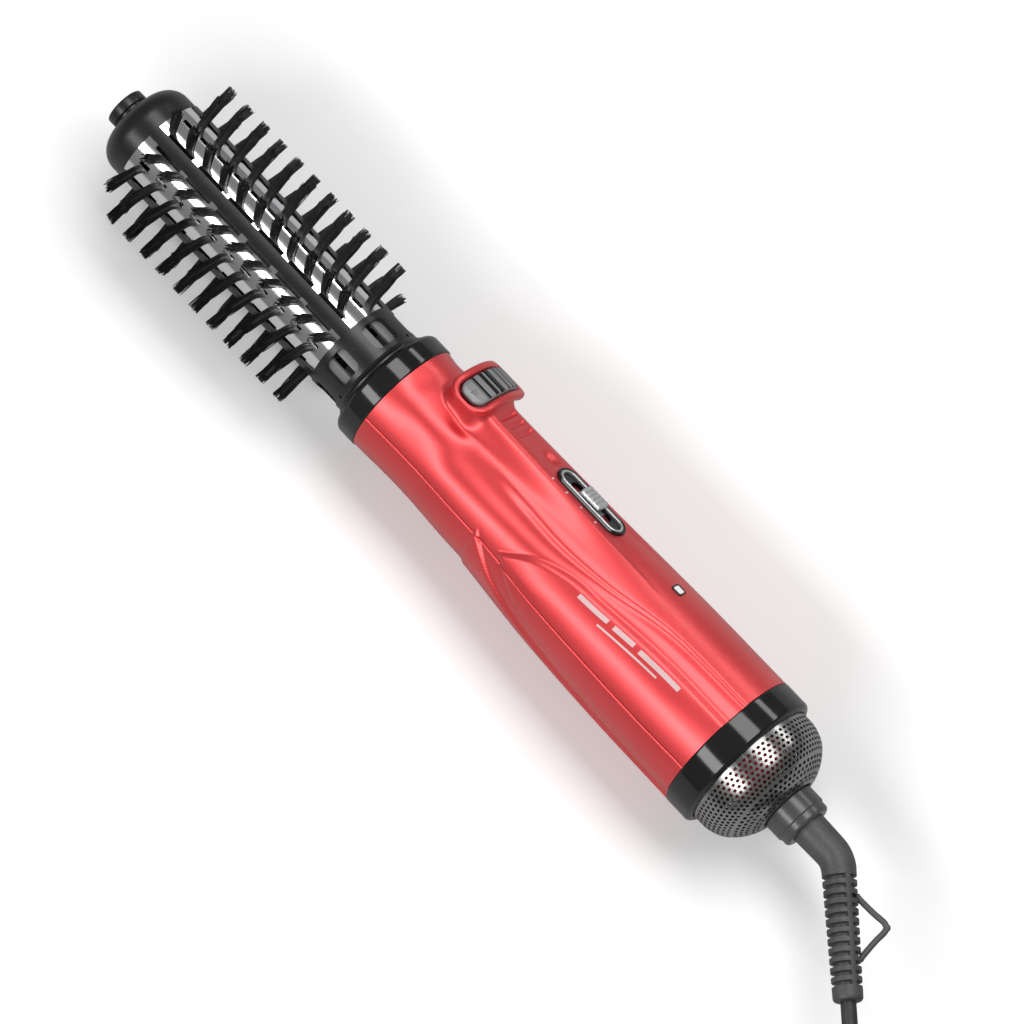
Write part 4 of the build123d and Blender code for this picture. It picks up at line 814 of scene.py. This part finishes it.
def slide_cap():
    """The slide's cap: a rounded bar carried along X whose top has four cross grooves, on a stem and foot."""
    u = np.linspace(-4.5, 4.5, 90)
    half_y = 3.0 - 0.7 * np.clip((np.abs(u) - 3.7) / 0.8, 0, 1) ** 2
    top = 28.0 - 0.7 * np.clip((np.abs(u) - 3.6) / 0.9, 0, 1) ** 2
    for centre in (-2.4, -0.8, 0.8, 2.4):
        top = top - 0.5 * (1 - ramp((np.abs(u - centre) - 0.1) / 0.3))
    shape = bar_section([(1, 0), (1, 0.4), (0.97, 0.75), (0.88, 0.95), (0.7, 1)])
    cap = flat(SLIDE_X + u[:, None], half_y[:, None] * shape[None, :, 0],
               SLIDE_LOW_Z + (top[:, None] - SLIDE_LOW_Z) * shape[None, :, 1])
    stem = flat_rings([(1.9, 1.9, 0.4, 23.0), (1.9, 1.9, 0.4, 26.8)], SLIDE_X, closed=True, steps=(3, 2))
    foot = flat_rings([(5.5, 3.2, 0.5, 22.4), (5.5, 3.2, 0.5, 24.0)], SLIDE_X, closed=True, steps=(3, 2))
    return joined(loft(cap), stem, foot)


finished("slide_cap", *slide_cap(), "slider", "silver_plastic", ["slide_knob"])
finished("lamp_rim", *flat_rings([
    (2.15, 2.15, 0.9, 24.6), (2.15, 2.15, 0.9, LAMP_Z), (2.0, 2.0, 0.8, LAMP_Z + 0.12),
    (1.7, 1.7, 0.55, LAMP_Z + 0.12), (1.6, 1.6, 0.5, LAMP_Z), (1.6, 1.6, 0.5, 24.6)], LED_X, steps=(8, 3)),
         "handle", "gloss_black")
finished("lamp_window", *flat_rings([
    (1.58, 1.58, 0.5, 22.0), (1.58, 1.58, 0.5, LAMP_Z - 0.1), (1.3, 1.3, 0.4, LAMP_Z + 0.1),
    (0.6, 0.6, 0.2, LAMP_Z + 0.16)], LED_X, closed=True, steps=(8, 3)), "handle", "lamp", ["lamp_lens"])


# ---- rings, gland and grille
FRONT_RING_R, REAR_RING_R, DOME_R, GLAND_R = 21.65, 26.8, 24.15, 9.5
front_profile = rounded_profile([
    (0, 17.6), (0, 20.4), (1.4, FRONT_RING_R), (8.75, FRONT_RING_R), (8.75, 19.2), (12.6, 18.9), (12.6, 17.6)], 0.9)
finished("front_ring_turned", *turned(front_profile), "handle", "gloss_black", ["front_ring"])
rear_profile = rounded_profile([
    (164.05, 24.5), (164.05, REAR_RING_R), (173.6, REAR_RING_R), (X_DOME, 25.4), (X_DOME, 24.25), (169.3, 24.25),
    (169.3, 23.0), (160.0, 23.0), (160.0, 24.4)], 0.7)
finished("rear_ring_turned", *turned(rear_profile), "handle", "gloss_black", ["rear_ring"])
gland_profile = rounded_profile([
    (187.7, 6.25), (187.7, 8.0), (X_GLAND, 8.0), (X_GLAND, GLAND_R), (199.3, GLAND_R), (199.6, 9.0), (201.9, 9.0),
    (X_GLAND_END, 8.2), (X_GLAND_END, 6.25)], 0.45)
finished("cord_gland_turned", *turned(gland_profile, roll=0.0, count=120), "handle", "switch_grey",
         ["cord_gland"], look="gland_black")


DOME_WALL, HOLE = 0.8, 0.34    # the steel's thickness, and a hole's radius as a share of its cell
DOME_BANDS = ((0.0, 0.05, 6, 0), (0.05, 0.56, 8, 74), (0.56, 0.585, 3, 0), (0.585, 0.8, 3, 54), (0.8, 0.825, 3, 0),
              (0.825, 0.95, 2, 36), (0.95, 1.0, 6, 0))    # from, to, rows, and holes in a row


def dome_line(s):
    """(x, r) along the dome from the rear ring at s = 0 to the gland at s = 1, and the outward direction."""
    xs = X_DOME + 18.2 * np.array([-0.02, 0.34, 0.58, 0.79, 0.94, 1.0])
    rs = DOME_R - np.array([0, 0.35, 2.05, 5.6, 10.2, 13.7])
    reach = np.r_[0, np.cumsum(np.hypot(np.diff(xs), np.diff(rs)))]
    x, r = curve(s * reach[-1], reach, xs), curve(s * reach[-1], reach, rs)
    dx, dr = np.gradient(x), np.gradient(r)
    size = np.hypot(dx, dr)
    return x, r, -dr / size, dx / size


def perforated_zone(s_from, s_to, rows, around):
    """A band of the dome as staggered cells. Each cell is a square of eight edge points round a hole of
    eight points; the hole's walls go in by the steel's thickness."""
    corner = np.array([(-1, -1), (0, -1), (1, -1), (1, 0), (1, 1), (0, 1), (-1, 1), (-1, 0)]) / 2
    turn = np.arctan2(corner[:, 1], corner[:, 0])
    hole = HOLE * np.stack([np.cos(turn), np.sin(turn)], -1)
    i, j = np.meshgrid(np.arange(rows), np.arange(around), indexing="ij")
    stagger = 0.5 * (i % 2)
    u = (i[..., None] + 0.5 + np.concatenate([corner[:, 1], hole[:, 1], hole[:, 1]])) / rows
    v = (j + stagger)[..., None] + np.concatenate([corner[:, 0], hole[:, 0], hole[:, 0]])
    s = s_from + (s_to - s_from) * u
    grid = np.linspace(0, 1, 400)
    x, r, nx, nr = (np.interp(s, grid, value) for value in dome_line(grid))
    sink = np.r_[np.zeros(16), np.full(8, DOME_WALL)]
    points = polar(x - nx * sink, r - nr * sink, v * 360 / around)
    first = (np.arange(rows * around) * 24)[:, None, None]
    k = np.arange(8)
    ring = np.stack([k, (k + 1) % 8, (k + 1) % 8 + 8, k + 8], -1)[None]
    wall = np.stack([k + 8, (k + 1) % 8 + 8, (k + 1) % 8 + 16, k + 16], -1)[None]
    faces = np.concatenate([(ring + first).reshape(-1, 4), (wall + first).reshape(-1, 4)])
    return points.reshape(-1, 3), faces[:, ::-1].tolist()


def plain_zone(s_from, s_to, rows):
    """An unpierced band of the dome."""
    grid = np.linspace(0, 1, 400)
    x, r, nx, nr = (np.interp(np.linspace(s_from, s_to, rows), grid, value) for value in dome_line(grid))
    beta = np.arange(180) * 2.0
    outer = polar(x[:, None], r[:, None], beta[None, :])
    inner = polar((x - DOME_WALL * nx)[::-1, None], (r - DOME_WALL * nr)[::-1, None], beta[None, :])
    return loft(np.concatenate([outer, inner]), ring=True)


dome = joined(*(perforated_zone(start, end, rows, holes) if holes else plain_zone(start, end, rows)
                for start, end, rows, holes in DOME_BANDS))
finished("perforated_dome", *dome, "handle", "grille_steel", ["inlet_grille"], clean=False)


# ---- brush head
BARREL_R, KNOB_R, CAP_ROUND = 16.75, 7.0, 7.5
ROWS, TUFTS, FILAMENTS = 10, 11, 58
TUFT_PITCH, TUFT_REACH, ROOT_R, TUFT_MAX_R = 8.2, 29.9, 16.2, 1.95
FIRST_TUFT = (X_BARREL + X_COLLAR - TUFT_PITCH * (TUFTS - 1)) / 2


def bristle_row(index, seed):
    """Eleven tufts of nylon filaments. Each filament is a three-sided rod of four stations: it leaves a root
    circle of radius 1.5, spreads to 1.92 at the tips and leans by a random amount; lengths differ by up to
    2.4 mm. Every tuft has a six-sided core, and a strip inside the barrel carries them."""
    random = np.random.default_rng(seed)
    n = TUFTS * FILAMENTS
    tuft = np.repeat(np.arange(TUFTS), FILAMENTS)
    shift = TUFT_PITCH / 4 * (1 if index % 2 else -1)
    root_x = FIRST_TUFT + TUFT_PITCH * tuft + shift
    spread, turn = np.sqrt(random.random(n)), random.random(n) * 2 * math.pi
    wander = random.normal(0, 0.14, (n, 2))
    reach = TUFT_REACH - 0.15 - 2.4 * random.random(n) ** 1.8
    t = np.array([0.0, 0.4, 0.75, 1.0])
    width = 1.5 + 0.42 * t ** 1.4
    out_x = spread[:, None] * np.cos(turn)[:, None] * width + wander[:, :1] * t ** 2 * 2.4
    out_y = spread[:, None] * np.sin(turn)[:, None] * width + wander[:, 1:] * t ** 2 * 2.4
    size = np.hypot(out_x, out_y)
    keep = np.minimum(1, TUFT_MAX_R / np.maximum(size, 1e-6))
    out_x, out_y = out_x * keep, out_y * keep
    height = ROOT_R + (reach[:, None] - ROOT_R) * t
    rod = np.radians([90, 210, 330])
    thick = 0.21 * np.array([1, 1, 0.95, 0.7])
    x = root_x[:, None, None] + out_x[..., None] + thick[None, :, None] * np.cos(rod)
    y = out_y[..., None] + thick[None, :, None] * np.sin(rod)
    lean = HEAD_PHASE + (index + 0.5) * 360 / ROWS
    points = flat(x, y, np.broadcast_to(height[..., None], x.shape), lean)
    first = (np.arange(n) * 12)[:, None]
    side = np.array(grid_faces(4, 3))
    faces = (side[None] + first[..., None]).reshape(-1, 4).tolist() + (np.array([[9, 10, 11]]) + first).tolist()
    parts = [(points.reshape(-1, 3), faces)]
    hexagon = np.radians(np.arange(6) * 60)
    for k in range(TUFTS):
        loops = [flat(FIRST_TUFT + TUFT_PITCH * k + shift + r * np.cos(hexagon), r * np.sin(hexagon), z, lean)
                 for r, z in ((1.4, 15.4), (1.5, 17.2), (1.5, 22.0), (1.3, 27.2))]
        parts.append(loft(loops))
    strip_x, strip_y = rounded_rect((X_COLLAR - X_BARREL) / 2 - 1.8, 1.7, 0.3, 3, 2)
    strip = [flat((X_BARREL + X_COLLAR) / 2 + strip_x, strip_y, z, lean) for z in (14.4, 15.6)]
    parts.append(loft(strip))
    return joined(*parts)


for index in range(ROWS):
    finished(f"tufts_{index + 1:02d}", *bristle_row(index, 40 + index), "brush_head", "nylon_black",
             [f"bristle_row_{index + 1:02d}"], crease=60, clean=False)

cap_arc = np.radians(np.linspace(0, 90, 14))
cap_profile = np.concatenate([
    [(X_BARREL, BARREL_R + 0.05)],
    np.stack([X_CAP + CAP_ROUND - CAP_ROUND * np.sin(cap_arc),
              BARREL_R + 0.05 - CAP_ROUND + CAP_ROUND * np.cos(cap_arc)], -1),
    [(X_CAP, 6.0), (X_CAP + 0.1, 2.1), (X_CAP + 6, 2.1), (X_BARREL - 1, 14.0), (X_BARREL + 1.5, 14.3),
     (X_BARREL + 1.5, 15.6), (X_BARREL, 15.7)]])
finished("rounded_head_cap", *turned(cap_profile, HEAD_PHASE), "brush_head", "satin_black", ["head_cap"])
knob_profile = rounded_profile([
    (X_TIP, 2.5), (X_TIP, KNOB_R), (X_TIP + 3.4, KNOB_R), (X_TIP + 3.6, 6.4), (X_CAP - 0.4, 6.3), (X_CAP - 0.4, 2.1),
    (X_TIP + 2.2, 2.1)], 0.7)
finished("turning_tip_knob", *turned(knob_profile, HEAD_PHASE, 120), "tip", "satin_black", ["tip_knob"])


# ---- floor and light
FLOOR_HALF, FLOOR_BOUNCE = 3.0, 0.42    # metres, and the grey that light bounces off
SURROUND = (0.2, 0.9)                   # strength for light and for the camera
PANELS = (("key_panel", 20.0, 0.8, 1.1, 0.34, 5.6), ("rim_panel", 62.0, 0.55, 0.9, 0.16, 2.0),
          ("near_panel", -44.0, 0.62, 1.1, 0.24, 5.4))    # lean, height, length, width and watts


def from_camera(tree):
    """A socket that is 1 for the camera's rays and 0 for light."""
    return tree.nodes.new("ShaderNodeLightPath").outputs["Is Camera Ray"]


def studio():
    """A pale floor, an even white surround and soft panels along the brush. Floor and surround look paler to
    the camera than the light they give."""
    material = finish_material("pale_floor", (0.95, 0.95, 0.95), (0.93, 0.93, 0.93), rough=(0.7, 0.8), bump=0.0,
                               cloud=2, Specular_IOR_Level=0.1)
    tree = material.node_tree
    blend = tree.nodes.new("ShaderNodeMix")
    blend.data_type = "RGBA"
    blend.inputs["A"].default_value = (FLOOR_BOUNCE, FLOOR_BOUNCE, FLOOR_BOUNCE, 1)
    shown = tree.nodes["Principled BSDF"].inputs["Base Color"]
    tree.links.new(shown.links[0].from_socket, blend.inputs["B"])
    tree.links.new(from_camera(tree), blend.inputs["Factor"])
    tree.links.new(blend.outputs["Result"], shown)
    mesh = bpy.data.meshes.new("floor")
    corners = [(x * FLOOR_HALF, y * FLOOR_HALF, 0) for x, y in ((-1, -1), (1, -1), (1, 1), (-1, 1))]
    mesh.from_pydata(corners, [], [(0, 1, 2, 3)])
    mesh.materials.append(material)
    placed("floor", mesh)
    world = bpy.data.worlds.new("white_surround")
    world.use_nodes = True
    tree = world.node_tree
    background = tree.nodes["Background"]
    background.inputs["Color"].default_value = (1, 1, 1, 1)
    tree.links.new(map_range(tree, from_camera(tree), 0, 1, SURROUND), background.inputs["Strength"])
    bpy.context.scene.world = world
    for name, turn, height, length, width, power in PANELS:
        lean = math.radians(turn)
        light = bpy.data.lights.new(name, "AREA")
        light.shape, light.size, light.size_y, light.energy = "RECTANGLE", length, width, power
        panel = placed(name, light)
        distance = height / max(math.cos(lean), 0.3)
        panel.location = (0.05, math.sin(lean) * distance, math.cos(lean) * distance)
        panel.rotation_euler = (-lean, 0, 0)
    bpy.context.scene.view_settings.view_transform = "Standard"


studio()
